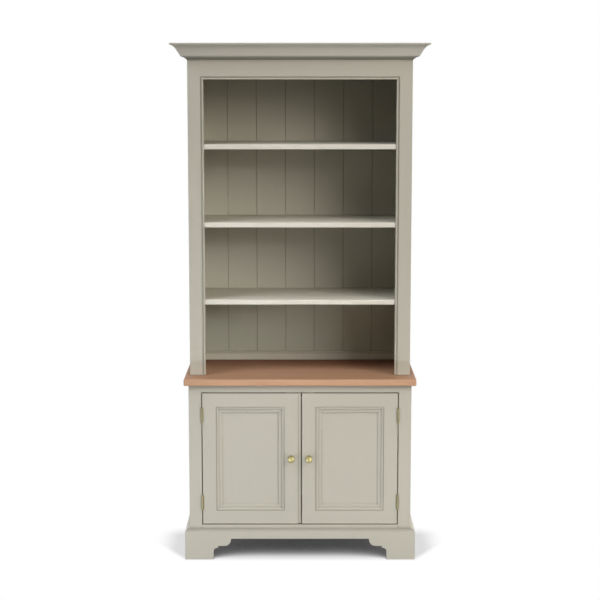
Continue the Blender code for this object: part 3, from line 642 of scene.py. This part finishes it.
def metal_material(name, base, roughness, stretch):
    """Satin metal with fine drawn scratches and faint tarnish."""
    material, tree, shader, coords = shader_of(name)
    scratches = noise(tree, coords, SCRATCH_CELLS, stretch)
    tarnish = noise(tree, coords, TARNISH_CELLS, detail=4.0)
    shades = [colour(base, gain) for gain in TARNISH_GAINS]
    limits = [roughness + swing for swing in METAL_SWING]
    tint = mix(tree, ranged(tree, tarnish, 0, 1), *shades)
    wire(tree, shader, tint, ranged(tree, scratches, *limits), bump(tree, scratches, SCRATCH_HEIGHT, 0.4))
    shader.inputs["Metallic"].default_value = 1.0
    return material


def plastic_material():
    """Matte moulded plastic with a fine spark grain."""
    material, tree, shader, coords = shader_of("plastic")
    spark = noise(tree, coords, SPARK_CELLS, detail=2.0)
    shades = [colour(PLASTIC, gain) for gain in SPARK_GAINS]
    grain = bump(tree, spark, SPARK_HEIGHT, 0.5)
    wire(tree, shader, mix(tree, spark, *shades), ranged(tree, spark, *PLASTIC_ROUGHNESS), grain)
    return material


# painted shade: these paints darken their crevices, and the frame boards under the worktop take a longer reach for
# painted shadow under its overhang
PAINTS = [paint_material(f"paint_{'xyz'[axis]}", axis, shaded_by(CREVICE_SHADE)) for axis in range(3)]
FRAME_PAINTS = {
    axis: paint_material(f"paint_frame_{'xyz'[axis]}", axis, shaded_by(OVERHANG_SHADE)) for axis in (0, 2)
}
# the one paint without painted light or shade
PAINT_PLAIN = paint_material("paint_plain", 1)
# painted light and shade: in the quirks, or by place, through the function named in each paint
PAINT_POST = paint_material("paint_post", 2, shaded_by(QUIRK_SHADE))
PAINT_STILE = paint_material("paint_stile", 2, stile_light_and_shade)
PAINT_BOARD = paint_material("paint_board", 2, boarded)
PAINT_RAIL = paint_material("paint_rail", 0, lit_rail)
PAINT_SHELF = paint_material("paint_shelf", 0, lit_front)
PAINT_PLINTH = paint_material("paint_plinth", 0, shaded_ledge)
PLINTH_END = paint_material("paint_plinth_end", 1, lit_ledge)
PAINT_CORNICE = paint_material("paint_cornice", 0, overhung)
# painted shade on the mouldings' slopes and quirks
MOULDING_X = paint_material("paint_moulding_x", 0, shaded_by(MOULDING_SHADE))
MOULDING_Z = paint_material("paint_moulding_z", 2, shaded_by(MOULDING_SHADE))
OAK = oak_material()
BRASS_TURNED = metal_material("brass_turned", KNOB_BRASS, roughness=0.38, stretch=(1, 1, 1))
BRASS_DRAWN = metal_material("brass_drawn", HINGE_BRASS, roughness=0.34, stretch=(1, 1, 0.03))
STEEL_PLATE = metal_material("steel_plate", STEEL, roughness=0.34, stretch=(0.03, 1, 1))
BLACK_PLASTIC = plastic_material()


def body_of_node(node):
    """The moving body that holds a solid."""
    bodies = frame["record"]["behaviour"]["bodies"]
    return next(body for body, nodes in bodies.items() if node in nodes)


def make_worktop():
    """Oak top with rounded edges and front corners."""
    low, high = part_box("worktop")

    def ring(inset, z):
        radius = WORKTOP_CORNER_R + WORKTOP_ARRIS - inset
        half = high.x - inset
        front = low.y + inset
        corner = arc((half - radius, front + radius), radius, 0, -90)
        plan = [(half, high.y)] + corner + mirrored(reversed(corner), -1) + [(-half, high.y)]
        return [(x, y, z) for x, y in plan]

    rounding = arc((0, 0), WORKTOP_ARRIS, 0, 90)
    top = [ring(WORKTOP_ARRIS - out, high.z - WORKTOP_ARRIS + up) for out, up in rounding]
    bottom = [ring(WORKTOP_ARRIS - out, low.z + WORKTOP_ARRIS - up) for out, up in reversed(rounding)]
    make("oak_worktop", loft(bottom + top), OAK, CABINET, ["worktop"])


def surround(name, profile, half, front):
    """Meshes of three mitred lengths round the front and ends: a profile point is (distance out, z)."""
    right = [(half + out, front - out, z) for out, z in profile]
    left = [(-x, y, z) for x, y, z in right]
    pieces = {"front": new_object(f"{name}_board_front", loft([left, right]))}
    for side, sign in SIDES:
        mitred = [(sign * (half + out), front - out, z) for out, z in profile]
        square = [(x, Y_REAR, z) for x, _, z in mitred]
        pieces[side] = new_object(f"{name}_board_{side}", loft([mitred, square]))
    return pieces


def dress_surround(name, pieces, front_paint, end_paint, ease):
    """Finish the three lengths of a surround."""
    for side, obj in pieces.items():
        material = front_paint if side == "front" else end_paint
        dress(obj, material, CABINET, [f"{name}_{side}"], ease)


def bracket_outline(edge, inward):
    """Inner outline of a bracket foot, from the floor up: edge is its inner edge, inward is -1 or 1."""
    cove = arc((BRACKET_COVE_R, FOOT_STRAIGHT), BRACKET_COVE_R, 180, 90)
    flat_z = FOOT_STRAIGHT + BRACKET_COVE_R + BRACKET_STEP
    step = BRACKET_COVE_R + BRACKET_TOOTH
    ovolo = arc((step + BRACKET_FLAT, flat_z + BRACKET_OVOLO_R), BRACKET_OVOLO_R, -90, 0)
    points = [(0, -OVERSHOOT)] + cove + [(step, cove[-1][1]), (step, flat_z)] + ovolo
    points += [(ovolo[-1][0], ovolo[-1][1] + BRACKET_HEAD)]
    return [(edge + inward * along, z) for along, z in points]


def arch_outline(first_edge, second_edge):
    """The gap between two bracket feet."""
    return bracket_outline(first_edge, 1) + list(reversed(bracket_outline(second_edge, -1)))


def make_plinth():
    """Plinth boards with a rounded top edge, cut to bracket feet."""
    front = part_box("plinth_front")[0].y
    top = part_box("plinth_front")[1].z
    thickness = BASE_FRONT - front
    rounding = arc((thickness - PLINTH_ROUND, top - PLINTH_ROUND), PLINTH_ROUND, 0, 90)
    profile = [(JOINT_GAP, 0), (thickness, 0)] + rounding + [(JOINT_GAP, top)]
    pieces = surround("plinth", profile, BASE_HALF, BASE_FRONT)
    outer = BASE_HALF + thickness
    foot = outer - FOOT_W
    cut = prism(arch_outline(-foot, foot), "Y", front - OVERSHOOT, BASE_FRONT + OVERSHOOT)
    combine(pieces["front"], cut, "DIFFERENCE")
    for side, sign in SIDES:
        x = sorted((sign * (BASE_HALF - OVERSHOOT), sign * (outer + OVERSHOOT)))
        cut = prism(arch_outline(front + SIDE_FOOT_W, Y_REAR - SIDE_FOOT_W), "X", x[0], x[1])
        combine(pieces[side], cut, "DIFFERENCE")
    dress_surround("plinth", pieces, PAINT_PLINTH, PLINTH_END, EASE)


def sloped_arc(end, radius, slopes, rising):
    """A hollow climbing outwards between two slopes in degrees: end is its foot if rising, else its head."""
    head, foot = slopes
    known = math.radians(foot if rising else head)
    centre = (end[0] + radius * math.sin(known), end[1] - radius * math.cos(known))
    return arc(centre, radius, 90 + foot, 90 + head)


def make_cornice():
    """Mitred cornice: foot, bed hollow, nose, cove, quirk and top fillet."""
    low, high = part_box("cornice_front")
    height = high.z - low.z
    projection = RACK_FRONT - low.y
    fillet = height - CORNICE_FILLET
    bed = sloped_arc((CORNICE_FOOT, 0), CORNICE_BED_R, CORNICE_BED_DEG, True)
    cove = sloped_arc((projection - CORNICE_QUIRK, fillet), CORNICE_COVE_R, CORNICE_COVE_DEG, False)
    shallow = CORNICE_BED_DEG[0]
    steep = CORNICE_COVE_DEG[1]
    slope = math.radians(shallow)
    nose_centre = (
        bed[-1][0] - CORNICE_NOSE_R * math.sin(slope),
        bed[-1][1] + CORNICE_NOSE_R * math.cos(slope),
    )
    nose = arc(nose_centre, CORNICE_NOSE_R, shallow - 90, steep - 90)
    section = [(JOINT_GAP, 0)] + bed + nose[1:] + cove
    section += [(projection, fillet), (projection, height), (JOINT_GAP, height)]
    profile = [(out, low.z + up) for out, up in section]
    pieces = surround("cornice", profile, RACK_HALF, RACK_FRONT)
    dress_surround("cornice", pieces, PAINT_CORNICE, PAINT_PLAIN, EASE_FINE)


def hollow(start, stop):
    """A hollow quarter curve that falls steeply from start and runs out flat at stop."""
    quarter = arc((1, 1), 1, 180, 270)
    width = stop[0] - start[0]
    drop = start[1] - stop[1]
    return [(start[0] + width * across, stop[1] + drop * up) for across, up in quarter]


def moulding_profile():
    """Section of the panel moulding: (distance in from the frame, height above the panel)."""
    quirk_floor = PANEL_RECESS - MOULDING_QUIRK_D
    flat_start = MOULDING_QUIRK_W + MOULDING_ARRIS
    flat_end = flat_start + MOULDING_FLAT_W
    step_start = flat_end + MOULDING_ROUND_R + MOULDING_UPPER_W
    step_end = step_start + MOULDING_STEP_W
    width = step_end + MOULDING_LOWER_W
    arris = arc((flat_start, PANEL_RECESS - MOULDING_ARRIS), MOULDING_ARRIS, 180, 90)
    rounded = arc((flat_end, PANEL_RECESS - MOULDING_ROUND_R), MOULDING_ROUND_R, 90, 0)
    upper = hollow(rounded[-1], (step_start, MOULDING_STEP_H))
    lower = hollow((step_end, MOULDING_STEP_H), (width, MOULDING_EDGE))
    profile = [(JOINT_GAP, JOINT_GAP), (JOINT_GAP, quirk_floor), (MOULDING_QUIRK_W, quirk_floor)]
    return profile + arris + rounded + upper[1:] + lower + [(width, JOINT_GAP)]


def make_door_mouldings():
    """The moulding round each panel, mitred at its corners: one length on each edge."""
    profile = [(out - JOINT_GAP, PANEL_Y - height) for out, height in moulding_profile()]
    for side, _ in SIDES:
        node = f"{side}_door_moulding"
        low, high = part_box(node)
        left, right, bottom, top = (low.x, 1), (high.x, -1), (low.z, 1), (high.z, -1)
        corners = [(left, bottom), (right, bottom), (right, top), (left, top)]
        rings = []
        for (x, into_x), (z, into_z) in corners:
            rings.append([(x + into_x * out, y, z + into_z * out) for out, y in profile])
        for start, edge in enumerate(("bottom", "right", "top", "left")):
            material = MOULDING_X if edge in ("bottom", "top") else MOULDING_Z
            bm = loft([rings[start], rings[(start + 1) % len(rings)]])
            make(f"{node}_{edge}", bm, material, f"{side}_door", [node])


def make_knobs():
    """Turned brass knobs: rose, waisted neck and domed head."""
    neck_angle = math.degrees(math.acos(KNOB_NECK_R / KNOB_R))
    tip_angle = math.degrees(math.acos(KNOB_TIP_R / KNOB_R))
    rim_centre = (KNOB_ROSE_R - KNOB_RIM_R, KNOB_ROSE_T - KNOB_RIM_R)
    flare_centre = (KNOB_NECK_R + KNOB_FLARE_R, KNOB_ROSE_T + KNOB_FLARE_R)
    foot = [(KNOB_TIP_R, JOINT_GAP), (KNOB_ROSE_R, JOINT_GAP)]
    foot += arc(rim_centre, KNOB_RIM_R, 0, 90, SMALL_STEPS)
    foot += arc(flare_centre, KNOB_FLARE_R, 270, 180, SMALL_STEPS)
    dome = arc((0, 0), 1, -neck_angle, tip_angle, 2 * ARC_STEPS)
    for side, _ in SIDES:
        node = f"{side}_door_knob"
        low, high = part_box(node)
        middle = (low + high) / 2
        projection = BASE_FRONT - low.y
        head = [(KNOB_R * out, projection - KNOB_HEAD_T * (1 - forward) / 2) for out, forward in dome]
        bm = turned(foot + head, (middle.x, BASE_FRONT, middle.z), (0, -1, 0))
        make(f"{side}_knob", bm, BRASS_TURNED, f"{side}_door", [node])


def screw_head(centre, direction):
    """A slotted, slightly domed screw head on a plate that faces along X."""
    dome = [(SCREW_R * math.cos(angle), SCREW_RISE * math.sin(angle)) for angle in SCREW_DOME]
    head = new_object("head", turned([(SCREW_R, -SCREW_RISE)] + dome, centre, direction, SMALL_SIDES))
    half = (SCREW_SLOT_D, SCREW_R, SCREW_SLOT_W / 2)
    face = Vector(centre) + Vector(direction) * (SCREW_RISE + SCREW_SLOT_D / 2)
    combine(head, block(*(span(face[i], half[i]) for i in range(3))), "DIFFERENCE")
    return head


def merged(name, objects):
    """Several separate bodies as one mesh object."""
    bm = bmesh.new()
    for obj in objects:
        bm.from_mesh(obj.data)
        bpy.data.objects.remove(obj)
    return new_object(name, bm)


def make_hinges():
    """Butt hinges: leaves with turned knuckles, a pin, and three slotted screws in each leaf."""
    for side, sign in SIDES:
        axis = next(j for j in frame["joints"] if j["name"] == f"{side}_door_hinge")["pos_m"]
        for level in ("upper", "lower"):
            for part, outward, first in (("frame", 1, 0), ("door", -1, 1)):
                make_leaf(side, sign, level, part, outward, first, axis)


def make_leaf(side, sign, level, part, outward, first, axis):
    """One leaf, let into the frame (outward 1) or the door (-1), with its knuckles and screws."""
    node = f"{side}_{level}_hinge_{part}_leaf"
    body = body_of_node(node)
    low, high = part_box(node)
    seat = sign * max((low.x, high.x), key=lambda x: sign * outward * x)
    edge = seat - outward * HINGE_LEAF_T
    x = sorted((sign * edge, sign * seat))
    frame_low, frame_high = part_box(f"{side}_{level}_hinge_frame_leaf")
    start = frame_low.z
    length = frame_high.z - start
    centre_x = abs(axis[0])
    root = BASE_FRONT + OVERSHOOT
    clear = BASE_FRONT - JOINT_GAP
    bend = [(centre_x, axis[1]), (centre_x, clear), (edge, clear)]
    bend += [(edge, root), (seat, root), (seat, axis[1])]
    plate = block(x, (BASE_FRONT, BASE_FRONT + HINGE_LEAF_W), (start, start + length))
    leaf = new_object(f"{side}_{level}_{part}_leaf", plate)
    pitch = length / HINGE_KNUCKLES
    chamfer = HINGE_KNUCKLE_GAP
    for i in range(first, HINGE_KNUCKLES, 2):
        bottom = start + i * pitch + HINGE_KNUCKLE_GAP / 2
        top = start + (i + 1) * pitch - HINGE_KNUCKLE_GAP / 2
        combine(leaf, prism(mirrored(bend, sign), "Z", bottom, top), "UNION")
        slim = HINGE_KNUCKLE_R - chamfer
        profile = [(slim, 0), (HINGE_KNUCKLE_R, chamfer)]
        profile += [(HINGE_KNUCKLE_R, top - bottom - chamfer), (slim, top - bottom)]
        combine(leaf, turned(profile, (axis[0], axis[1], bottom), (0, 0, 1), SMALL_SIDES), "UNION")
    ends = (start + HINGE_KNUCKLE_GAP, start + length - HINGE_KNUCKLE_GAP)
    if part == "frame":
        pin = circle(axis[:2], HINGE_PIN_R, SMALL_SIDES)
        combine(leaf, prism(pin, "Z", *ends), "UNION")
    else:
        bore = circle(axis[:2], HINGE_PIN_R + JOINT_GAP, SMALL_SIDES)
        combine(leaf, prism(bore, "Z", start - OVERSHOOT, start + length + OVERSHOOT), "DIFFERENCE")
    dress(leaf, BRASS_DRAWN, body, [node], EASE_METAL)
    heads = []
    for share, stagger in HINGE_SCREWS:
        place = (sign * edge, BASE_FRONT + HINGE_LEAF_W / 2 + stagger, start + share * length)
        heads.append(screw_head(place, (-sign * outward, 0, 0)))
    screws = merged(f"{side}_{level}_{part}_leaf_screws", heads)
    dress(screws, BRASS_DRAWN, body)


def bead_cutter():
    """What the quirk bead's plane takes off round the rack's opening, mitred at the two top corners."""
    radius = BEAD_W / 2
    bead = arc((radius, radius + BEAD_SINK), radius, 0, -180)
    quirk = BEAD_W + BEAD_QUIRK_W
    depth = bead[0][1]
    section = [(-OVERSHOOT, -OVERSHOOT), (quirk, -OVERSHOOT), (quirk, depth)] + bead + [(-OVERSHOOT, depth)]
    rings = []
    for sign, at_top in ((-1, False), (-1, True), (1, True), (1, False)):
        ring = []
        for out, sunk in section:
            z = RACK_OPENING_TOP + out if at_top else RACK_Z0 - OVERSHOOT
            ring.append((sign * (RACK_OPENING + out), RACK_FRONT + sunk, z))
        rings.append(ring)
    return loft(rings)


def make_rack_frame():
    """Stiles and frieze with the quirk bead round the opening."""
    haunch = BEAD_W + BEAD_QUIRK_W
    shoulder = RACK_OPENING + haunch
    mitre = [(RACK_OPENING, RACK_OPENING_TOP), (shoulder, RACK_OPENING_TOP + haunch), (shoulder, RACK_Z1)]
    stile_outline = [(RACK_OPENING, RACK_Z0)] + mitre + [(RACK_HALF, RACK_Z1), (RACK_HALF, RACK_Z0)]
    for side, sign in SIDES:
        bm = prism(mirrored(stile_outline, sign), "Y", RACK_FRONT, RACK_INSIDE)
        stile = new_object(f"rack_{side}_post", bm)
        combine(stile, bead_cutter(), "DIFFERENCE")
        dress(stile, PAINT_STILE, CABINET, [f"rack_{side}_stile"])
    outline = mitre + mirrored(reversed(mitre), -1)
    frieze = new_object("rack_frieze_board", prism(outline, "Y", RACK_FRONT, RACK_INSIDE))
    combine(frieze, bead_cutter(), "DIFFERENCE")
    dress(frieze, PAINTS[0], CABINET, ["rack_frieze"])


def make_rack_shelves():
    """Shelves notched round the stiles, with rounded front edges."""
    for number, node in enumerate(SHELVES, 1):
        low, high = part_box(node)
        r = SHELF_ARRIS
        section = arc((low.y + r, low.z + r), r, 270, 180)
        section += arc((low.y + r, high.z - r), r, 180, 90)
        section += [(high.y, high.z), (high.y, low.z)]
        shelf = new_object(f"shelf_{number}", prism(section, "X", low.x, high.x))
        for _, sign in SIDES:
            x = sorted((sign * (RACK_OPENING - JOINT_GAP), sign * (high.x + OVERSHOOT)))
            y = (low.y - OVERSHOOT, RACK_INSIDE + JOINT_GAP)
            combine(shelf, block(x, y, (low.z - OVERSHOOT, high.z + OVERSHOOT)), "DIFFERENCE")
        dress(shelf, PAINT_SHELF, CABINET, [node])


def make_back_rail():
    """Beaded rail along the foot of the boards."""
    low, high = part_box("back_rail")
    r = BACK_RAIL_BEAD / 2
    bead = arc((low.y + r, high.z - r), r, 90, 270)
    quirk_z = bead[-1][1] - BACK_RAIL_QUIRK
    outline = [(high.y, high.z)] + bead + [(low.y + r, quirk_z), (low.y, quirk_z)]
    outline += [(low.y, low.z), (high.y, low.z)]
    make("beaded_back_rail", prism(outline, "X", low.x, high.x), PAINT_RAIL, CABINET, ["back_rail"])


def cone(centre, direction, radii, depth):
    """A short cone with its wide end at the centre, for a countersunk hole or head."""
    return turned([(radii[1], -depth), (radii[0], 0)], centre, direction, SMALL_SIDES)


def make_strikes():
    """Steel strike plates with round corners and a countersunk, slotted screw."""
    rearward = (0, 1, 0)
    for side, _ in SIDES:
        node = f"{side}_door_strike"
        low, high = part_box(node)
        middle = (low + high) / 2
        half_w = high.x - middle.x - STRIKE_CORNER_R
        half_h = high.z - middle.z - STRIKE_CORNER_R
        outline = []
        for quarter, (right, up) in enumerate(((1, 1), (-1, 1), (-1, -1), (1, -1))):
            centre = (middle.x + right * half_w, middle.z + up * half_h)
            outline += arc(centre, STRIKE_CORNER_R, 90 * quarter, 90 * (quarter + 1), SMALL_STEPS)
        plate = new_object(f"{side}_strike_plate", prism(outline, "Y", low.y, high.y))
        hole = cone((middle.x, high.y, middle.z), rearward, STRIKE_HOLE_R, STRIKE_HOLE_D)
        combine(plate, hole, "DIFFERENCE")
        dress(plate, STEEL_PLATE, f"{side}_door", [node], EASE_METAL)
        face = high.y - STRIKE_HEAD_SUNK
        head = cone((middle.x, face, middle.z), rearward, STRIKE_HEAD_R, STRIKE_HOLE_D - STRIKE_HEAD_SUNK)
        screw = new_object(f"{side}_strike_screw", head)
        slot_x = span(middle.x, STRIKE_HEAD_R[0])
        slot_y = (face - STRIKE_SLOT_D, face + STRIKE_HEAD_SUNK)
        combine(screw, block(slot_x, slot_y, span(middle.z, STRIKE_SLOT_W / 2)), "DIFFERENCE")
        dress(screw, STEEL_PLATE, f"{side}_door")


def make_catch():
    """Plastic catch body with two pairs of steel pole plates in its front."""
    low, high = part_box("door_catch")
    body = new_object("catch_body", block((low.x, high.x), (low.y, high.y), (low.z, high.z)))
    poles = []
    for side, _ in SIDES:
        strike_low, strike_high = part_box(f"{side}_door_strike")
        x = (strike_low.x + OVERSHOOT, strike_high.x - OVERSHOOT)
        for share in POLE_PLACES:
            z = strike_low.z + share * (strike_high.z - strike_low.z)
            bed = block(x, (low.y - OVERSHOOT, low.y + POLE_DEPTH), span(z, POLE_H / 2))
            combine(body, bed, "DIFFERENCE")
            pole_x = (x[0] + POLE_GAP, x[1] - POLE_GAP)
            pole_y = (low.y - POLE_GAP, low.y + POLE_DEPTH - POLE_GAP)
            poles.append(new_object("pole", block(pole_x, pole_y, span(z, POLE_H / 2 - POLE_GAP))))
    dress(body, BLACK_PLASTIC, CABINET, ["door_catch"], EASE)
    dress(merged("catch_poles", poles), STEEL_PLATE, CABINET, (), EASE_METAL)


def solid_tree(obj):
    """A search tree over a solid's faces."""
    bm = bmesh.new()
    bm.from_mesh(obj.data)
    tree = BVHTree.FromBMesh(bm)
    bm.free()
    return tree


def longest_axis(node):
    """The axis along which a board is longest, which is the way it is brushed."""
    low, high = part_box(node)
    size = high - low
    return max(range(3), key=lambda i: size[i])


def stands_free(edge, others):
    """Whether an edge is a sharp outward corner that no other solid covers."""
    if len(edge.link_faces) != 2 or not edge.is_convex or edge.calc_face_angle() < FREE_ANGLE:
        return False
    ends = [v.co for v in edge.verts]
    points = [ends[0].lerp(ends[1], (i + 0.5) / EDGE_SAMPLES) for i in range(EDGE_SAMPLES)]
    clear = 0
    for point in points:
        hits = [tree.find_nearest(point, FREE_GAP)[0] for tree in others]
        clear += all(hit is None for hit in hits)
    return clear >= FREE_SHARE * EDGE_SAMPLES


def near(first, second):
    """Whether the boxes of two solids come within reach of each other."""
    a_low, a_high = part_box(first)
    b_low, b_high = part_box(second)
    return all(a_low[i] - FREE_GAP < b_high[i] and b_low[i] - FREE_GAP < a_high[i] for i in range(3))


def close_joints(bm, node):
    """Lengthen a rail or a side into its post, so that the paint runs over the joint."""
    low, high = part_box(node)
    reach = JOINT_GAP + EASE
    for vertex in bm.verts:
        if node.endswith("_rail"):
            vertex.co.x += reach if vertex.co.x > (low.x + high.x) / 2 else -reach
        elif node.endswith("_side") and vertex.co.y < low.y + WELD:
            vertex.co.y -= JOINT_GAP


def make_eased_boards():
    """Copies of plain boards with their free arrises eased; edges in joints stay sharp."""
    trees = {name: solid_tree(obj) for name, obj in frame["nodes"].items()}
    for node in EASED:
        others = [tree for name, tree in trees.items() if name != node and near(node, name)]
        bm = bmesh.new()
        bm.from_mesh(frame["nodes"][node].data)
        close_joints(bm, node)
        bmesh.ops.remove_doubles(bm, verts=bm.verts, dist=WELD)
        bmesh.ops.dissolve_limit(bm, angle_limit=FLAT, verts=bm.verts, edges=bm.edges)
        bm.normal_update()
        free = [edge for edge in bm.edges if stands_free(edge, others)]
        bmesh.ops.bevel(
            bm, geom=free, offset=EASE, segments=EASE_STEPS, profile=0.5, affect="EDGES", clamp_overlap=True
        )
        paints = FRAME_PAINTS if node in BASE_FRAME else PAINTS
        material = PAINT_POST if node.endswith("meeting_stile") else paints[longest_axis(node)]
        make(f"{node}_board", bm, material, body_of_node(node), [node])


def finish_plain_solids():
    """Paint every solid that is still shown."""
    for node, obj in frame["nodes"].items():
        if obj.hide_render:
            continue
        paint = PAINT_BOARD if node.startswith("back_board") else PAINTS[longest_axis(node)]
        obj.data.materials.clear()
        obj.data.materials.append(paint)


def floor_shade(tree):
    """Painted floor shadow: deep and soft under the arches, and a light one that fans out beside the cabinet."""
    low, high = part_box("plinth_front")
    under = add(tree, "ValToRGB", {"Fac": openness(tree, UNDER_REACH)})
    ramp = under.color_ramp.elements
    ramp.new(UNDER_STOPS[1][0])
    for stop, (place, shade) in zip(ramp, UNDER_STOPS):
        stop.position = place
        stop.color = colour(WHITE, shade)
    coords = add(tree, "TexCoord").outputs["Object"]
    depth = math_node(tree, "SUBTRACT", place_on(tree, coords, "Y"), low.y)
    off_middle = math_node(tree, "ABSOLUTE", place_on(tree, coords, "X"))
    aside = math_node(tree, "MAXIMUM", math_node(tree, "SUBTRACT", off_middle, high.x), 0.0)
    fan = math_node(tree, "SUBTRACT", depth, math_node(tree, "MULTIPLY", aside, FAN_SLOPE))
    start = ranged(tree, fan, 0, 1, FAN_START)
    end = ranged(tree, depth, 1, 0, FAN_END)
    beside = ranged(tree, openness(tree, BESIDE_REACH), BESIDE_SHADE, 0, BESIDE_LIMITS)
    shadow = math_node(tree, "MULTIPLY", beside, math_node(tree, "MULTIPLY", start, end))
    return math_node(tree, "MINIMUM", under.outputs["Color"], math_node(tree, "SUBTRACT", 1.0, shadow))


def make_floor():
    """White floor, shown with a painted soft contact shadow, that fades to a white surround."""
    bm = bmesh.new()
    corners = [(-1, -1), (1, -1), (1, 1), (-1, 1)]
    bm.faces.new([bm.verts.new((FLOOR_HALF * x, FLOOR_HALF * y, -FLOOR_DROP)) for x, y in corners])
    floor = new_object("floor", bm)
    material = bpy.data.materials.new("floor_white")
    material.use_nodes = True
    tree = material.node_tree
    tree.nodes.remove(tree.nodes["Principled BSDF"])
    # painted shadow: the camera sees the floor glow white, darkened by the shadow painted in floor_shade
    seen = add(tree, "Emission", {"Color": floor_shade(tree), "Strength": 1.0}).outputs[0]
    matte = add(tree, "BsdfDiffuse", {"Color": colour(WHITE, FLOOR_GREY)}).outputs[0]
    both = add(tree, "MixShader", {0: seen_directly(tree), 1: matte, 2: seen}).outputs[0]
    tree.links.new(both, tree.nodes["Material Output"].inputs["Surface"])
    floor.data.materials.append(material)


def seen_directly(tree):
    """1 for rays from the camera or sent on by a glossy or clear surface."""
    path = add(tree, "LightPath").outputs
    shown = math_node(tree, "MAXIMUM", path["Is Camera Ray"], path["Is Glossy Ray"])
    return math_node(tree, "MAXIMUM", shown, path["Is Transmission Ray"])


def make_world():
    """White surround for what is seen, greyer overhead, and a weak even light on the object."""
    world = bpy.data.worlds.new("studio")
    world.use_nodes = True
    tree = world.node_tree
    background = tree.nodes["Background"]
    background.inputs["Color"].default_value = colour(WHITE)
    way = add(tree, "TexCoord").outputs["Generated"]
    sky = ranged(tree, place_on(tree, way, "Z"), *SKY_SHADES, SKY_LIMITS)
    inputs = {"Factor": seen_directly(tree), "A": AMBIENT, "B": sky}
    tree.links.new(add(tree, "Mix", inputs).outputs[0], background.inputs["Strength"])
    bpy.context.scene.world = world


def make_lamp(name, place, aim, size, power, tint, spread=180):
    """A soft rectangular lamp; a small spread in degrees narrows its beam."""
    data = bpy.data.lights.new(name, "AREA")
    data.energy = power
    data.color = tint
    data.shape = "RECTANGLE"
    data.size, data.size_y = size
    data.spread = math.radians(spread)
    lamp = bpy.data.objects.new(name, data)
    lamp.location = place
    lamp.rotation_euler = (Vector(aim) - Vector(place)).to_track_quat("-Z", "Y").to_euler()
    bpy.context.scene.collection.objects.link(lamp)


def around(azimuth, distance, height):
    """A place round the cabinet: degrees from the front towards the right, and metres."""
    angle = math.radians(azimuth)
    return Vector((distance * math.sin(angle), -distance * math.cos(angle), height))


def make_lamps():
    """Big lamps on all sides, narrow beams into the rack and low fills, fitted to the photograph."""
    warm = (1.0, 0.95, 0.82)
    cream = (1.0, 0.95, 0.88)
    cool = (0.93, 0.95, 1.0)
    green = (0.92, 1.0, 0.95)
    big = (2.2, 2.2)
    middle = (0, 0, 1.0)
    make_lamp("key", around(40, 3.82, 3.38), middle, big, power=59, tint=warm)
    make_lamp("right", around(52, 4.23, 2.54), middle, big, power=51, tint=cream)
    make_lamp("left", around(-50, 3.18, 4.18), middle, big, power=95, tint=cool)
    left_boards = (-0.40, 0.2, 1.0)
    lowest_bay = (-0.05, 0.2, 0.92)
    rail_end = (0.36, 0.2, 0.76)
    strip = (0.5, 0.06)
    make_lamp("beam", around(30, 3.6, 2.0), left_boards, (0.6, 1.0), power=0.38, tint=WHITE, spread=12)
    make_lamp("low_beam", around(10, 3.6, 1.1), lowest_bay, (0.5, 0.15), power=0.04, tint=green, spread=6)
    make_lamp("side_beam", around(-16, 3.6, 1.0), rail_end, strip, power=0.0065, tint=WHITE, spread=2.5)
    cupboard = (0, 0, 0.4)
    plinth = (0, -0.2, 0.25)
    make_lamp("low_right", around(45, 2.4, 0.9), cupboard, (0.8, 0.8), power=1.0, tint=warm, spread=80)
    for azimuth, power in ((-30, 3.9), (30, 2.7)):
        make_lamp("low_front", around(azimuth, 1.3, 0.16), plinth, (0.4, 0.2), power, cool)
    for side, sign in SIDES:
        make_lamp(f"rear_{side}", around(sign * 140, 4.3, 3.0), middle, big, power=70, tint=WHITE)


def make_camera():
    """The photograph's view."""
    data = bpy.data.cameras.new("camera")
    data.lens = CAMERA_LENS
    data.sensor_width = CAMERA_SENSOR
    camera = bpy.data.objects.new("camera", data)
    camera.location = CAMERA_PLACE
    camera.rotation_euler = (math.pi / 2 - CAMERA_PITCH, 0, 0)
    bpy.context.scene.collection.objects.link(camera)
    bpy.context.scene.camera = camera


def make_studio():
    """Floor, surround, lamps and camera."""
    make_floor()
    make_world()
    make_lamps()
    make_camera()
    bpy.context.scene.view_settings.view_transform = "Standard"


make_worktop()
make_plinth()
make_cornice()
make_door_mouldings()
make_knobs()
make_hinges()
make_rack_frame()
make_rack_shelves()
make_back_rail()
make_strikes()
make_catch()
make_eased_boards()
finish_plain_solids()
make_studio()
